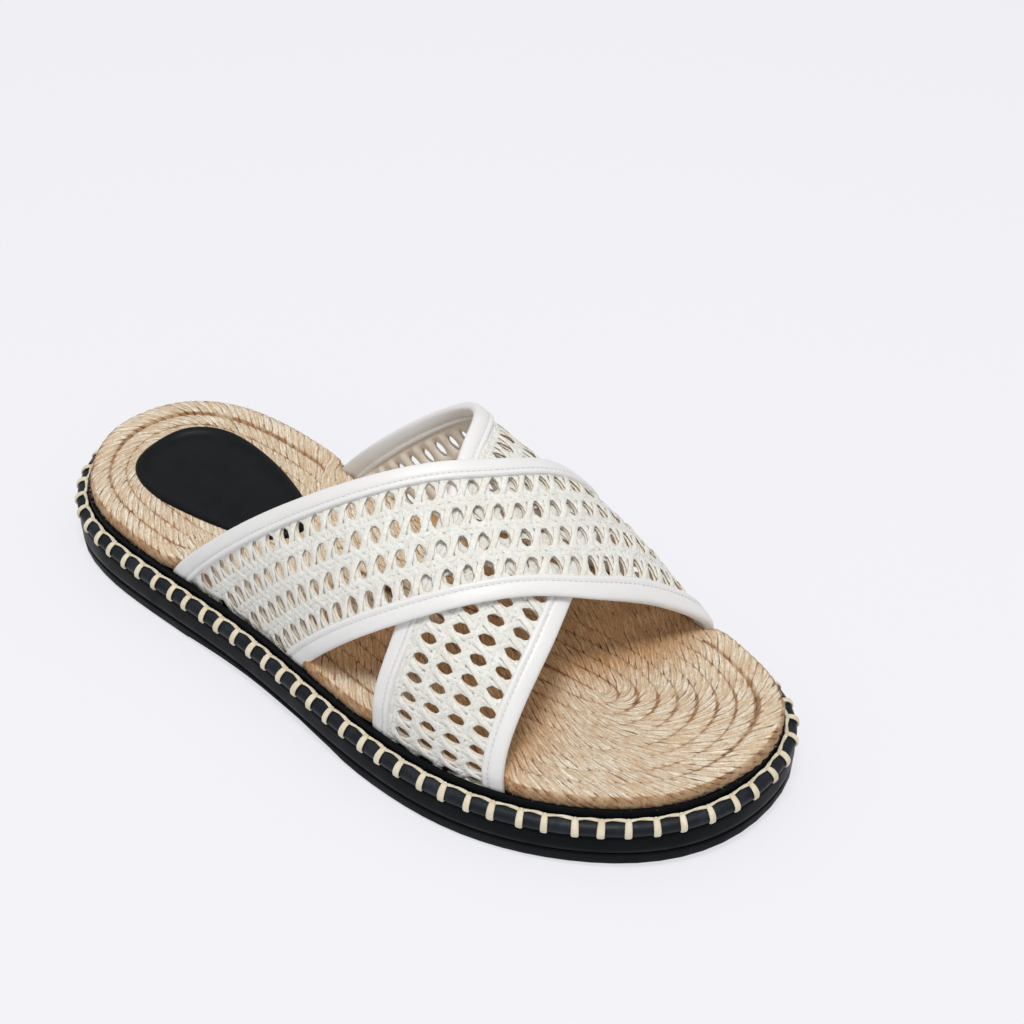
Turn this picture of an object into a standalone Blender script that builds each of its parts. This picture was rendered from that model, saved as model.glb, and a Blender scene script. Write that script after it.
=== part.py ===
"""Cross-strap slide, right foot: two woven leather straps over a rope footbed, on a black rubber sole.

A standalone Blender 4.5 script: blender --background --python part.py
Metres, +Z up. The toe points to +X, and the inner (medial) side of the foot is +Y.
"""

import math

import bmesh
import bpy
import numpy as np

GAP = 0.0003  # left between pieces that touch

# ---- Sole plan and heights ----
LENGTH = 0.261

# The sole's outline, from the heel round the medial side to the toe and back.
# Columns: distance from the heel end, distance to the medial side.
OUTLINE = (
    (0.0000, -0.0010),
    (0.0110, 0.0310),
    (0.0490, 0.0425),
    (0.0950, 0.0390),
    (0.1445, 0.0465),
    (0.1850, 0.0530),
    (0.2240, 0.0480),
    (0.2560, 0.0300),
    (0.2590, -0.0055),
    (0.2475, -0.0250),
    (0.2285, -0.0395),
    (0.1900, -0.0525),
    (0.1485, -0.0510),
    (0.1045, -0.0435),
    (0.0550, -0.0395),
    (0.0160, -0.0285),
)
RING_POINTS = 96
HEEL_LIFT = 0.0020  # the rand and footbed stand this much higher at the heel end
TOE_LIFT = 0.0026  # and this much higher at the toe end
TOE_LIFT_START = 0.205
TOE_SPRING = 0.0018  # the tread's rise off the floor at the toe end
SPRING_START = 0.172

OUTSOLE_TOP = 0.0047
SHOULDER = 0.0117  # the ledge of the midsole that the rand sits on
RAND_TOP = 0.0156
LIP_TOP = 0.0186  # the thin wall inside the rand
SLOT_FLOOR = 0.0136  # the slot that the straps are glued into
FOOTBED_TOP = 0.0220

RAND_WIDTH = 0.0038
LIP_OUTER = 0.0041  # distances in from the outline
LIP_INNER = 0.0052
STRAP_BASE = LIP_INNER + GAP
FOOTBED_SIDE = STRAP_BASE
FOOTBED_TUCK = 0.0028  # the footbed stands back this much more where a strap end is glued in beside it

# The arch cut into the underside, from the heel breast to the ball. Columns: distance from the heel end, height.
ARCH = ((0.0760, 0.0014), (0.0900, 0.0023), (0.1080, 0.0031), (0.1300, 0.0036), (0.1440, 0.0026), (0.1600, 0.0))

# The tread grooves. Columns: distance from the heel end, half length across the sole.
GROOVE_DEPTH = 0.0018
GROOVE_WIDTH = 0.0030
GROOVES = (
    (0.022, 0.022),
    (0.038, 0.027),
    (0.054, 0.028),
    (0.166, 0.036),
    (0.182, 0.038),
    (0.198, 0.037),
    (0.214, 0.034),
)

# ---- Heel pad ----
# Columns: distance from the heel end, distance to the medial side of its lateral and of its medial edge.
PAD = (
    (0.0210, 0.0025, 0.0025),
    (0.0245, -0.0090, 0.0160),
    (0.0330, -0.0142, 0.0222),
    (0.0440, -0.0160, 0.0233),
    (0.0560, -0.0158, 0.0214),
    (0.0680, -0.0143, 0.0180),
    (0.0790, -0.0115, 0.0132),
    (0.0870, -0.0065, 0.0078),
    (0.0900, 0.0004, 0.0004),
)
PAD_THICKNESS = 0.0022
PAD_POINTS = 44

# ---- The last's instep, which the straps lie on ----
# Columns: distance from the heel end, crown height over the slot, the crown's shift to the medial side.
LAST = (
    (0.065, 0.0873, 0.0295),
    (0.110, 0.0743, 0.0210),
    (0.155, 0.0590, 0.0127),
    (0.195, 0.0378, 0.0053),
    (0.230, 0.0020, -0.0010),
)
LAST_BASE = 0.0166
FULLNESS = 0.85  # exponent of the section's rise: lower is squarer
LATERAL_SLOPE = 1.10  # exponents of the section's width on each side of its crown
MEDIAL_SLOPE = 0.87

# ---- Straps ----
# The line of each strap edge round the last. Columns: distance from the heel end at the lateral slot,
# at the medial slot, bulge to the toe between them, lean of that bulge, extra bulge at the crown.
OVER_HEEL_EDGE = (0.0654, 0.1668, 0.0376, 0.0039, 0.0)
OVER_TOE_EDGE = (0.1268, 0.2185, 0.0260, 0.0020, 0.0)
UNDER_HEEL_EDGE = (0.1583, 0.0758, 0.0335, -0.0056, -0.0035)
UNDER_TOE_EDGE = (0.2046, 0.1408, 0.0216, -0.0048, 0.0)
STRAP_WIDTH = 0.0450
STRAP_WALL = 0.0022
STRAP_WELD = 0.0002  # how deep the upper strap is pressed into the lower one where they are sewn
STRAP_STEPS = 39
WEAVE_COLUMNS = 8
BINDING_WIDTH = 0.0063
BINDING_PROUD = 0.0006  # each face of a binding over the weave's face

# Across a binding from its free edge: share of its width, share of its full thickness there.
BINDING_ROUND = ((0.0, 0.35), (0.07, 0.80), (0.20, 1.0), (0.60, 1.0), (1.0, 0.95))


def smooth_step(value, low, high):
    share = np.clip((value - low) / (high - low), 0.0, 1.0)
    return share * share * (3.0 - 2.0 * share)


def closed_curve(points, count):
    """Evenly spaced points on the periodic cubic spline through the given points, starting at the first."""
    knots = np.array(points)
    total = len(knots)
    steps = np.linalg.norm(np.roll(knots, -1, axis=0) - knots, axis=1)
    before = np.roll(steps, 1)
    slopes = (np.roll(knots, -1, axis=0) - knots) / steps[:, None]
    system = np.zeros((total, total))
    for i in range(total):
        system[i, i - 1] = steps[i]
        system[i, i] = 2.0 * (steps[i] + before[i])
        system[i, (i + 1) % total] = before[i]
    right = 3.0 * (slopes * before[:, None] + np.roll(slopes, 1, axis=0) * steps[:, None])
    tangents = np.linalg.solve(system, right)
    fine = []
    for i in range(total):
        j = (i + 1) % total
        for t in np.arange(0.0, 1.0, 0.02):
            fine.append(
                (2 * t**3 - 3 * t**2 + 1) * knots[i]
                + (t**3 - 2 * t**2 + t) * steps[i] * tangents[i]
                + (3 * t**2 - 2 * t**3) * knots[j]
                + (t**3 - t**2) * steps[i] * tangents[j]
            )
    fine = np.array(fine + [knots[0]])
    run = np.concatenate([[0.0], np.cumsum(np.linalg.norm(np.diff(fine, axis=0), axis=1))])
    wanted = np.linspace(0.0, run[-1], count, endpoint=False)
    return np.stack([np.interp(wanted, run, fine[:, 0]), np.interp(wanted, run, fine[:, 1])], axis=1)


def inward_normals(ring):
    ahead = np.roll(ring, -1, axis=0) - np.roll(ring, 1, axis=0)
    ahead /= np.linalg.norm(ahead, axis=1)[:, None]
    # The outline runs clockwise seen from above, so its inside is on the right.
    return np.stack([ahead[:, 1], -ahead[:, 0]], axis=1)


SOLE_RING = closed_curve(OUTLINE, RING_POINTS)
SOLE_INWARD = inward_normals(SOLE_RING)


def level(from_heel):
    """How far the rand, the lip and the footbed stand above their heights at the middle of the forefoot."""
    toe = np.clip((from_heel - TOE_LIFT_START) / (LENGTH - TOE_LIFT_START), 0.0, None) ** 2
    return HEEL_LIFT * (1.0 - from_heel / LENGTH) + TOE_LIFT * toe


def spring(from_heel):
    """How far the tread stands off the floor."""
    return TOE_SPRING * np.clip((from_heel - SPRING_START) / (LENGTH - SPRING_START), 0.0, None) ** 2


def sole_ring(inset, height, rise=level):
    """The outline moved in by inset, at a height that follows the sole's own rise."""
    plan = SOLE_RING + SOLE_INWARD * inset
    return np.column_stack([plan, height + rise(plan[:, 0])])


def placed(points):
    """From distances along the foot to the part's frame, whose origin is below the middle of its box."""
    return np.array(points) - np.array([LENGTH / 2.0, 0.0, 0.0])


def new_object(name, points, faces, collection, material=None):
    mesh = bpy.data.meshes.new(name)
    mesh.from_pydata([tuple(p) for p in placed(points)], [], faces)
    work = bmesh.new()
    work.from_mesh(mesh)
    bmesh.ops.recalc_face_normals(work, faces=work.faces)
    work.to_mesh(mesh)
    work.free()
    made = bpy.data.objects.new(name, mesh)
    collection.objects.link(made)
    if material:
        mesh.materials.append(material)
    mesh.shade_smooth()
    mesh.set_sharp_from_angle(angle=math.radians(35))
    return made


def walls(rows, count):
    """Quads between each ring of points and the next."""
    faces = []
    for row in range(rows - 1):
        for i in range(count):
            j = (i + 1) % count
            faces.append((row * count + i, row * count + j, (row + 1) * count + j, (row + 1) * count + i))
    return faces


def ladder(first, count):
    """A cap of rungs from side to side: point i is joined to the one across from it."""
    faces = [(first, first + 1, first + count - 1)]
    for i in range(1, count // 2 - 1):
        faces.append((first + i, first + i + 1, first + count - i - 1, first + count - i))
    middle = count // 2
    faces.append((first + middle - 1, first + middle, first + middle + 1))
    return faces


def stacked_solid(name, rings, collection, material):
    """A solid from its lowest ring up to its last one, closed by a ladder at each end."""
    count = len(rings[0])
    faces = walls(len(rings), count) + ladder(0, count) + ladder((len(rings) - 1) * count, count)
    return new_object(name, np.vstack(rings), faces, collection, material)


def hoop_solid(name, rings, collection, material):
    """A solid hoop whose rings run once round its section."""
    count = len(rings[0])
    faces = walls(len(rings) + 1, count)
    total = len(rings) * count
    faces = [tuple(corner % total for corner in face) for face in faces]
    return new_object(name, np.vstack(rings), faces, collection, material)


# ---- Sole pieces ----
def add_box_points(points, faces, corners_low, corners_high):
    start = len(points)
    for x, y, z in ((a, b, c) for a in (0, 1) for b in (0, 1) for c in (0, 1)):
        points.append([(corners_low[k], corners_high[k])[pick] for k, pick in enumerate((x, y, z))])
    for quad in ((0, 1, 3, 2), (4, 6, 7, 5), (0, 4, 5, 1), (2, 3, 7, 6), (0, 2, 6, 4), (1, 5, 7, 3)):
        faces.append(tuple(start + corner for corner in quad))


def underside_cutter(collection):
    """The arch, with a square breast at the heel, and the tread grooves."""
    points, faces = [], []
    half = 0.09
    below = -0.01
    profile = ((ARCH[0][0], below),) + ARCH + ((ARCH[-1][0], below),)
    for side in (-half, half):
        points += [[x, side, z] for x, z in profile]
    corners = len(profile)
    faces += [tuple(range(corners)), tuple(range(2 * corners - 1, corners - 1, -1))]
    faces += [(i, (i + 1) % corners, corners + (i + 1) % corners, corners + i) for i in range(corners)]
    for from_heel, across in GROOVES:
        top = GROOVE_DEPTH + spring(from_heel)
        low = (from_heel - GROOVE_WIDTH / 2, -across, below)
        high = (from_heel + GROOVE_WIDTH / 2, across, top)
        add_box_points(points, faces, low, high)
    cutter = new_object("underside_cutter", points, faces, collection)
    cutter.hide_render = True
    cutter.display_type = "WIRE"
    return cutter


def make_outsole(parts, cutters, material):
    """The rubber tread layer: a straight edge, rounded under, with heel and forefoot flat on the floor."""
    rows = ((0.0014, 0.0), (0.0004, 0.0005), (0.0, 0.0015), (0.0, 0.0042), (0.0004, OUTSOLE_TOP))
    rings = [sole_ring(inset, height, spring) for inset, height in rows]
    outsole = stacked_solid("outsole", rings, parts, material)
    cut = outsole.modifiers.new("underside", "BOOLEAN")
    cut.object = underside_cutter(cutters)
    cut.operation = "DIFFERENCE"
    cut.solver = "EXACT"
    return outsole


def make_midsole(parts, material):
    """The wall under the rand, the ledge for the rand, and the thin lip round the strap slot and footbed."""
    bottom = sole_ring(0.0005, OUTSOLE_TOP + GAP, spring)
    rows = (
        (0.0002, OUTSOLE_TOP + 2 * GAP, spring),
        (0.0002, SHOULDER - GAP, level),
        (0.0005, SHOULDER, level),
        (LIP_OUTER, SHOULDER, level),
        (LIP_OUTER, LIP_TOP - GAP, level),
        (LIP_OUTER + GAP, LIP_TOP, level),
        (LIP_INNER, LIP_TOP, level),
        (LIP_INNER, SLOT_FLOOR, level),
    )
    rings = [bottom] + [sole_ring(inset, height, rise) for inset, height, rise in rows]
    return stacked_solid("midsole", rings, parts, material)


def make_rand(parts, material):
    """The narrow band that is sewn along the top edge of the wall, with a rounded outer edge."""
    low = SHOULDER + GAP
    rows = (
        (RAND_WIDTH, low),
        (0.0004, low),
        (0.0, low + 0.0004),
        (0.0, 0.0138),
        (0.0005, 0.0149),
        (0.0015, RAND_TOP),
        (RAND_WIDTH - 0.0005, RAND_TOP),
        (RAND_WIDTH, RAND_TOP - 0.0004),
    )
    rings = [sole_ring(inset, height) for inset, height in rows]
    return hoop_solid("rand", rings, parts, material)


def make_footbed(parts, material):
    """The rope footbed, which fills the lip except where a strap end is tucked in beside it."""
    from_heel, to_medial = SOLE_RING[:, 0], SOLE_RING[:, 1]
    tucked = np.zeros(RING_POINTS)
    for heel_edge, toe_edge in ((OVER_HEEL_EDGE, OVER_TOE_EDGE), (UNDER_HEEL_EDGE, UNDER_TOE_EDGE)):
        for side, end in ((-1.0, 0), (1.0, 1)):
            inside = np.minimum(from_heel - heel_edge[end], toe_edge[end] - from_heel)
            tucked = np.maximum(tucked, smooth_step(inside, -0.0100, -0.0040) * (to_medial * side > 0.0))
    rows = ((0.0, SLOT_FLOOR + GAP), (0.0, 0.0186), (0.0006, 0.0203), (0.0018, 0.0215), (0.0040, FOOTBED_TOP))
    rings = [sole_ring((FOOTBED_SIDE + inset + FOOTBED_TUCK * tucked)[:, None], height) for inset, height in rows]
    return stacked_solid("footbed", rings, parts, material)


def make_heel_pad(parts, material):
    """The egg-shaped leather pad glued on the heel of the footbed."""
    medial = [(x, high) for x, _, high in PAD]
    lateral = [(x, low) for x, low, _ in PAD[-2:0:-1]]
    edge = closed_curve(medial + lateral, PAD_POINTS)
    inward = inward_normals(edge)
    rings = []
    for inset, height in ((0.0, GAP), (0.0, PAD_THICKNESS * 0.55), (0.0006, PAD_THICKNESS * 0.9), (0.0018, PAD_THICKNESS)):
        plan = edge + inward * inset
        rings.append(np.column_stack([plan, FOOTBED_TOP + height + level(plan[:, 0])]))
    return stacked_solid("heel_pad", rings, parts, material)


# ---- The last's surface ----
def half_ring_width(side):
    """Distance from the middle line to the strap slot against distance from the heel, on one side."""
    ring = SOLE_RING + SOLE_INWARD * STRAP_BASE
    chosen = ring[ring[:, 1] * side > 0.0]
    return chosen[np.argsort(chosen[:, 0])]


LATERAL_SLOT = half_ring_width(-1.0)
MEDIAL_SLOT = half_ring_width(1.0)


def last_row(from_heel):
    """Crown height and shift at a distance from the heel, on a smooth curve through the LAST rows."""
    rows = np.array(LAST)
    at = rows[:, 0]
    values = rows[:, 1:]
    slopes = np.gradient(values, at, axis=0)
    i = int(np.clip(np.searchsorted(at, from_heel) - 1, 0, len(at) - 2))
    step = at[i + 1] - at[i]
    t = (from_heel - at[i]) / step
    return (
        (2 * t**3 - 3 * t**2 + 1) * values[i]
        + (t**3 - 2 * t**2 + t) * step * slopes[i]
        + (3 * t**2 - 2 * t**3) * values[i + 1]
        + (t**3 - t**2) * step * slopes[i + 1]
    )


def last_point(from_heel, angle):
    """A point on the last. The angle goes from 0 at the lateral slot over the crown to pi at the medial slot."""
    crown, shift = last_row(from_heel)
    lateral = np.interp(from_heel, LATERAL_SLOT[:, 0], LATERAL_SLOT[:, 1])
    medial = np.interp(from_heel, MEDIAL_SLOT[:, 0], MEDIAL_SLOT[:, 1])
    half = (medial - lateral) / 2.0
    cosine, sine = math.cos(angle), abs(math.sin(angle))
    slope = LATERAL_SLOPE if cosine > 0.0 else MEDIAL_SLOPE
    across = (medial + lateral) / 2.0 - half * math.copysign(abs(cosine) ** slope, cosine) + shift * sine**1.5
    return np.array([from_heel, across, LAST_BASE + level(from_heel) + crown * sine**FULLNESS])


def last_normal(from_heel, angle):
    """Outward from the foot. Very near a slot it is taken a little higher, where the surface is regular."""
    safe = min(max(angle, 0.04), math.pi - 0.04)
    along = last_point(from_heel + 0.001, safe) - last_point(from_heel - 0.001, safe)
    over = last_point(from_heel, safe + 0.01) - last_point(from_heel, safe - 0.01)
    normal = np.cross(along, over)
    normal /= np.linalg.norm(normal)
    return normal


def edge_station(edge, angle):
    """Distance from the heel of a strap's edge at an angle round the last."""
    lateral, medial, bulge, lean, crown = edge
    t = angle / math.pi
    arc = 4 * t * (1 - t)
    return lateral + (medial - lateral) * t + arc * (bulge + 2 * lean * (1 - 2 * t)) + crown * arc**8


# ---- Straps ----
def covered(from_heel, angle, heel_edge, toe_edge):
    """1 where the other strap lies at this spot, 0 clear of it, and a short ramp between."""
    inside = min(from_heel - edge_station(heel_edge, angle), edge_station(toe_edge, angle) - from_heel)
    return float(smooth_step(inside, -0.009, -0.004))


def over_lift(angle):
    """How far the upper strap stands off the lower strap's own surface: nothing at the slots."""
    return (STRAP_WALL - STRAP_WELD) * float(smooth_step(math.sin(angle), 0.05, 0.40))


def binding_growth(angle):
    """A binding is pressed flat in the slot and has its full thickness above it."""
    return float(smooth_step(math.sin(angle), 0.05, 0.16))


def strap_grid(heel_edge, toe_edge, shares, faces_of):
    """Inner and outer points of a strap or binding: rows go round the foot, columns across the strap.

    faces_of(from_heel, angle, column) gives the inner and outer offsets from the last."""
    steps = np.linspace(0.0, 1.0, STRAP_STEPS + 1)
    angles = [math.pi * (s - 0.35 * math.sin(2 * math.pi * s) / (2 * math.pi)) for s in steps]
    rows = []
    drop = LAST_BASE - SLOT_FLOOR - GAP
    for angle, down in [(0.0, drop)] + [(a, 0.0) for a in angles] + [(math.pi, drop)]:
        row = []
        for column, share in enumerate(shares):
            start = edge_station(heel_edge, angle)
            from_heel = start + (edge_station(toe_edge, angle) - start) * share
            point = last_point(from_heel, angle) - np.array([0.0, 0.0, down])
            normal = last_normal(from_heel, angle)
            inner, outer = faces_of(from_heel, angle, column)
            row.append((point + normal * inner, point + normal * outer))
        rows.append(row)
    return np.array(rows)


def strap_solid(name, grid, collection, material=None):
    """A closed wall from a grid of inner and outer points."""
    rows, columns = grid.shape[:2]
    points = np.vstack([grid[:, :, 0].reshape(-1, 3), grid[:, :, 1].reshape(-1, 3)])
    outer = rows * columns
    faces = []
    for r in range(rows - 1):
        for c in range(columns - 1):
            a, b = r * columns + c, (r + 1) * columns + c
            faces.append((a, a + 1, b + 1, b))
            faces.append((outer + a, outer + b, outer + b + 1, outer + a + 1))
        for c in (0, columns - 1):
            a, b = r * columns + c, (r + 1) * columns + c
            faces.append((a, b, outer + b, outer + a))
    for r in (0, rows - 1):
        for c in range(columns - 1):
            a = r * columns + c
            faces.append((a, a + 1, outer + a + 1, outer + a))
    return new_object(name, points, faces, collection, material)


def weave_shares():
    edge = (BINDING_WIDTH + GAP) / STRAP_WIDTH
    return np.linspace(edge, 1.0 - edge, WEAVE_COLUMNS + 1)


def under_faces(from_heel, angle, column):
    return -STRAP_WALL, 0.0


def over_faces(from_heel, angle, column):
    lift = over_lift(angle)
    return lift - STRAP_WALL, lift


def make_upper(parts, cutters, material):
    """Both woven straps, sewn together where they cross."""
    shares = weave_shares()
    upper = strap_solid("upper", strap_grid(UNDER_HEEL_EDGE, UNDER_TOE_EDGE, shares, under_faces), parts, material)
    over = strap_solid("over_strap", strap_grid(OVER_HEEL_EDGE, OVER_TOE_EDGE, shares, over_faces), cutters)
    over.hide_render = True
    over.display_type = "WIRE"
    join = upper.modifiers.new("cross", "BOOLEAN")
    join.object = over
    join.operation = "UNION"
    join.solver = "EXACT"
    return upper


def make_binding(name, strap, side, parts, material):
    """A folded leather strip along one edge of a strap, thin where the two straps lie on each other."""
    heel_edge, toe_edge = (UNDER_HEEL_EDGE, UNDER_TOE_EDGE) if strap == "under" else (OVER_HEEL_EDGE, OVER_TOE_EDGE)
    width = BINDING_WIDTH / STRAP_WIDTH
    shares = [share * width for share, _ in BINDING_ROUND]
    if side == "toe":
        shares = [1.0 - share for share in shares]

    def faces_of(from_heel, angle, column):
        full = BINDING_ROUND[column][1]
        proud = BINDING_PROUD * binding_growth(angle)
        if strap == "under":
            hidden = covered(from_heel, angle, OVER_HEEL_EDGE, OVER_TOE_EDGE)
            inner = -STRAP_WALL - proud
            outer = proud + (-STRAP_WELD - GAP - proud) * hidden
        else:
            hidden = covered(from_heel, angle, UNDER_HEEL_EDGE, UNDER_TOE_EDGE)
            lift = over_lift(angle)
            free = lift - STRAP_WALL - proud
            inner = free + (GAP - free) * hidden
            outer = lift + proud
        middle, half = (inner + outer) / 2.0, (outer - inner) / 2.0
        return middle - half * full, middle + half * full

    return strap_solid(name, strap_grid(heel_edge, toe_edge, shares, faces_of), parts, material)


# ---- Materials and scene ----
def new_material(name, colour, roughness):
    material = bpy.data.materials.new(name)
    material.use_nodes = True
    shader = material.node_tree.nodes["Principled BSDF"]
    shader.inputs["Base Color"].default_value = (*colour, 1.0)
    shader.inputs["Roughness"].default_value = roughness
    return material


def new_collection(name):
    made = bpy.data.collections.new(name)
    bpy.context.scene.collection.children.link(made)
    return made


def main():
    for old in list(bpy.data.objects):
        bpy.data.objects.remove(old, do_unlink=True)
    parts = new_collection("cross_strap_slide")
    cutters = new_collection("cutters")
    cutters.hide_render = True
    rubber = new_material("rubber", (0.012, 0.013, 0.015), 0.55)
    band = new_material("rand_leather", (0.020, 0.021, 0.025), 0.50)
    rope = new_material("rope", (0.62, 0.44, 0.25), 0.90)
    pad_leather = new_material("pad_leather", (0.010, 0.010, 0.012), 0.45)
    woven = new_material("woven_leather", (0.80, 0.78, 0.73), 0.60)
    folded = new_material("binding_leather", (0.84, 0.83, 0.80), 0.45)
    make_outsole(parts, cutters, rubber)
    make_midsole(parts, rubber)
    make_rand(parts, band)
    make_footbed(parts, rope)
    make_heel_pad(parts, pad_leather)
    make_upper(parts, cutters, woven)
    for strap in ("under", "over"):
        for side in ("heel", "toe"):
            make_binding(f"{strap}_strap_binding_{side}_side", strap, side, parts, folded)


main()
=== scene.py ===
"""Cross-strap slide for the right foot, on a pale studio floor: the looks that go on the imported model.

Metres, +Z up. The toe points to +X, and the inner (medial) side of the foot is +Y.
"""

import math

import bmesh
import bpy
import numpy as np
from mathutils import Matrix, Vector


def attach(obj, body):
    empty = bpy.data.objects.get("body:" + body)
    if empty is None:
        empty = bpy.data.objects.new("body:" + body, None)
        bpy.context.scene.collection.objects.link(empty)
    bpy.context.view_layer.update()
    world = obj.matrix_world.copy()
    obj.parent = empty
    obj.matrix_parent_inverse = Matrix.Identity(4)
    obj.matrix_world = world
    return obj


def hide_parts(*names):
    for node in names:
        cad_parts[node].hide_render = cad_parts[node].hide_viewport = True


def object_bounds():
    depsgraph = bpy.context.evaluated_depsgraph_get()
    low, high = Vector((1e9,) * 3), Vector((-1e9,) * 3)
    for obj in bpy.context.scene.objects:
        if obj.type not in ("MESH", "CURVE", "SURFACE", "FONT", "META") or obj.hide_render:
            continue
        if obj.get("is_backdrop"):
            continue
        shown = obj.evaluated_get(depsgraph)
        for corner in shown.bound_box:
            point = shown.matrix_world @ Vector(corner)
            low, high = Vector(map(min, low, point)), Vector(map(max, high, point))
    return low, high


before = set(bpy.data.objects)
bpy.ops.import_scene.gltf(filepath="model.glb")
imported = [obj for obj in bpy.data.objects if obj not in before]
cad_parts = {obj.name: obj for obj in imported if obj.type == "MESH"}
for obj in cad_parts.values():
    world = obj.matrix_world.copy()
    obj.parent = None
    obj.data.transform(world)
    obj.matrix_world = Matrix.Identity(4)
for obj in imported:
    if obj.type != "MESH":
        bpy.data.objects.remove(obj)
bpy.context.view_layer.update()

# ---- Camera ----
# Three quarters from the lateral side and above, as for a catalogue sheet. A long lens, held level.
CAMERA_PLACE = (0.29075, -0.32631, 0.4318)
CAMERA_AIM = (-0.0093, 0.07029, 0.0)
CAMERA_LENS = 67.7


def aimed(name, data, place, aim):
    """Stands a camera or a lamp at its place, turned to its aim."""
    stood = bpy.data.objects.new(name, data)
    stood.location = place
    stood.rotation_euler = (Vector(aim) - Vector(place)).to_track_quat("-Z", "Y").to_euler()
    bpy.context.scene.collection.objects.link(stood)
    return stood


camera_data = bpy.data.cameras.new("camera")
camera_data.lens, camera_data.sensor_width, camera_data.clip_start = CAMERA_LENS, 36.0, 0.01
bpy.context.scene.camera = aimed("camera", camera_data, CAMERA_PLACE, CAMERA_AIM)

# ---- Studio ----
# White paper on a light table, so that shadows on it stay faint. A softbox hangs almost straight over the forefoot,
# and the white room fills in, brightest overhead.
PAPER_COLOUR, PAPER_GLOW, PAPER_SIZE = (0.22, 0.22, 0.22), (0.664, 0.664, 0.7), 6.0
ROOM_COLOUR = (0.98, 0.98, 1.0)
ROOM_AT_HORIZON, ROOM_OVERHEAD = 0.27, 0.72
# Each softbox: place, aim, size, power and colour.
SOFTBOXES = {
    "key_softbox": ((0.2, -0.24, 1.5), (0.0, 0.0, 0.0), (0.4, 0.4), 12.5, (1.0, 0.985, 0.96)),
    "front_softbox": ((0.9, -1.2, 0.9), (0.0, 0.0, 0.02), (1.2, 0.9), 1.5, (0.97, 0.98, 1.0)),
}


class Finish:
    """A finish being mixed: its nodes, and short ways to add to them."""

    def __init__(self, name, kind=bpy.data.materials, shader="Principled BSDF"):
        self.made = kind.new(name)
        self.made.use_nodes = True
        self.tree = self.made.node_tree
        self.shader = self.tree.nodes[shader]
        self.place = self.add("TexCoord").outputs["Object"]

    def put(self, node, **sockets):
        """Links or sets a node's sockets. In their names _ stands for a space, and i6 is the one with number 6."""
        for key, value in sockets.items():
            socket = node.inputs[int(key[1:]) if key[1:].isdigit() else key.replace("_", " ")]
            if isinstance(value, bpy.types.NodeSocket):
                self.tree.links.new(value, socket)
            else:
                socket.default_value = (*value, 1.0) if socket.type == "RGBA" else value
        return node

    def add(self, kind, settings=(), **sockets):
        node = self.tree.nodes.new("ShaderNode" + kind)
        for key, value in dict(settings).items():
            setattr(node, key, value)
        return self.put(node, **sockets)

    def noise(self, scale, detail=3.0, roughness=0.5, distortion=0.0, at=None):
        where = self.place if at is None else at
        settings = {"Scale": scale, "Detail": detail, "Roughness": roughness, "Distortion": distortion}
        return self.add("TexNoise", Vector=where, **settings).outputs["Fac"]

    def pebbles(self, scale):
        """How far each spot lies from the edges of a pebbled grain."""
        node = self.add("TexVoronoi", {"feature": "DISTANCE_TO_EDGE"}, Vector=self.place, Scale=scale)
        return node.outputs["Distance"]

    def mark(self, name):
        """A value that was marked on the piece's points."""
        return self.add("Attribute", {"attribute_name": name}).outputs["Fac"]

    def math(self, operation, first, second=0.0):
        return self.add("Math", {"operation": operation}, i0=first, i1=second).outputs["Value"]

    def ramp(self, factor, *stops):
        """A ramp between greys: each stop is a place from 0 to 1 and its grey."""
        node = self.add("ValToRGB", Fac=factor)
        elements = node.color_ramp.elements
        while len(elements) < len(stops):
            elements.new(0.5)
        for element, (place, grey) in zip(elements, stops):
            element.position = place
            element.color = (grey, grey, grey, 1.0)
        return node.outputs["Color"]

    def blend(self, factor, first, second, way="MIX"):
        settings = {"data_type": "RGBA", "blend_type": way}
        return self.add("Mix", settings, i0=factor, i6=first, i7=second).outputs[2]

    def bump(self, height, strength, distance, below=None):
        node = self.add("Bump", Height=height, Strength=strength, Distance=distance)
        if below is not None:
            self.put(node, Normal=below)
        return node.outputs["Normal"]

    def shown(self, **sockets):
        """Sets the shader's own sockets, and gives the finish that is made."""
        self.put(self.shader, **sockets)
        return self.made


paper = Finish("white_paper")
grain = paper.noise(900.0, 2.0)
bpy.ops.mesh.primitive_grid_add(x_subdivisions=24, y_subdivisions=24, size=PAPER_SIZE, location=(0.0, 0.0, 0.0))
floor = bpy.context.object
floor.name = "studio_floor"
floor.data.materials.append(paper.shown(
    Base_Color=paper.blend(grain, PAPER_COLOUR, tuple(c * 0.97 for c in PAPER_COLOUR)),
    Emission_Color=PAPER_GLOW,
    Emission_Strength=1.0,
    Roughness=0.9,
    Specular_IOR_Level=0.0,
    Normal=paper.bump(grain, 0.05, 0.0002),
))
floor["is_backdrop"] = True

for name, (place, aim, size, power, colour) in SOFTBOXES.items():
    lamp = bpy.data.lights.new(name, "AREA")
    lamp.shape, lamp.energy, lamp.color = "RECTANGLE", power, colour
    lamp.size, lamp.size_y = size
    aimed(name, lamp, place, aim)
room = Finish("white_room", bpy.data.worlds, "Background")
upward = room.add("SeparateXYZ", Vector=room.add("TexCoord").outputs["Generated"]).outputs["Z"]
dome = room.ramp(upward, (0.0, ROOM_AT_HORIZON), (1.0, ROOM_OVERHEAD))
bpy.context.scene.world = room.shown(Color=ROOM_COLOUR, Strength=dome)
bpy.context.scene.view_settings.view_transform = "Standard"

# ---- Outsole ----
# The tread layer: moulded black rubber with a square heel breast, an arch and cross grooves.
# It is the solid's own shape, with its loose triangles joined so that the long walls shade smoothly.
TREAD_BLACK = (0.0042, 0.0054, 0.0064)


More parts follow.
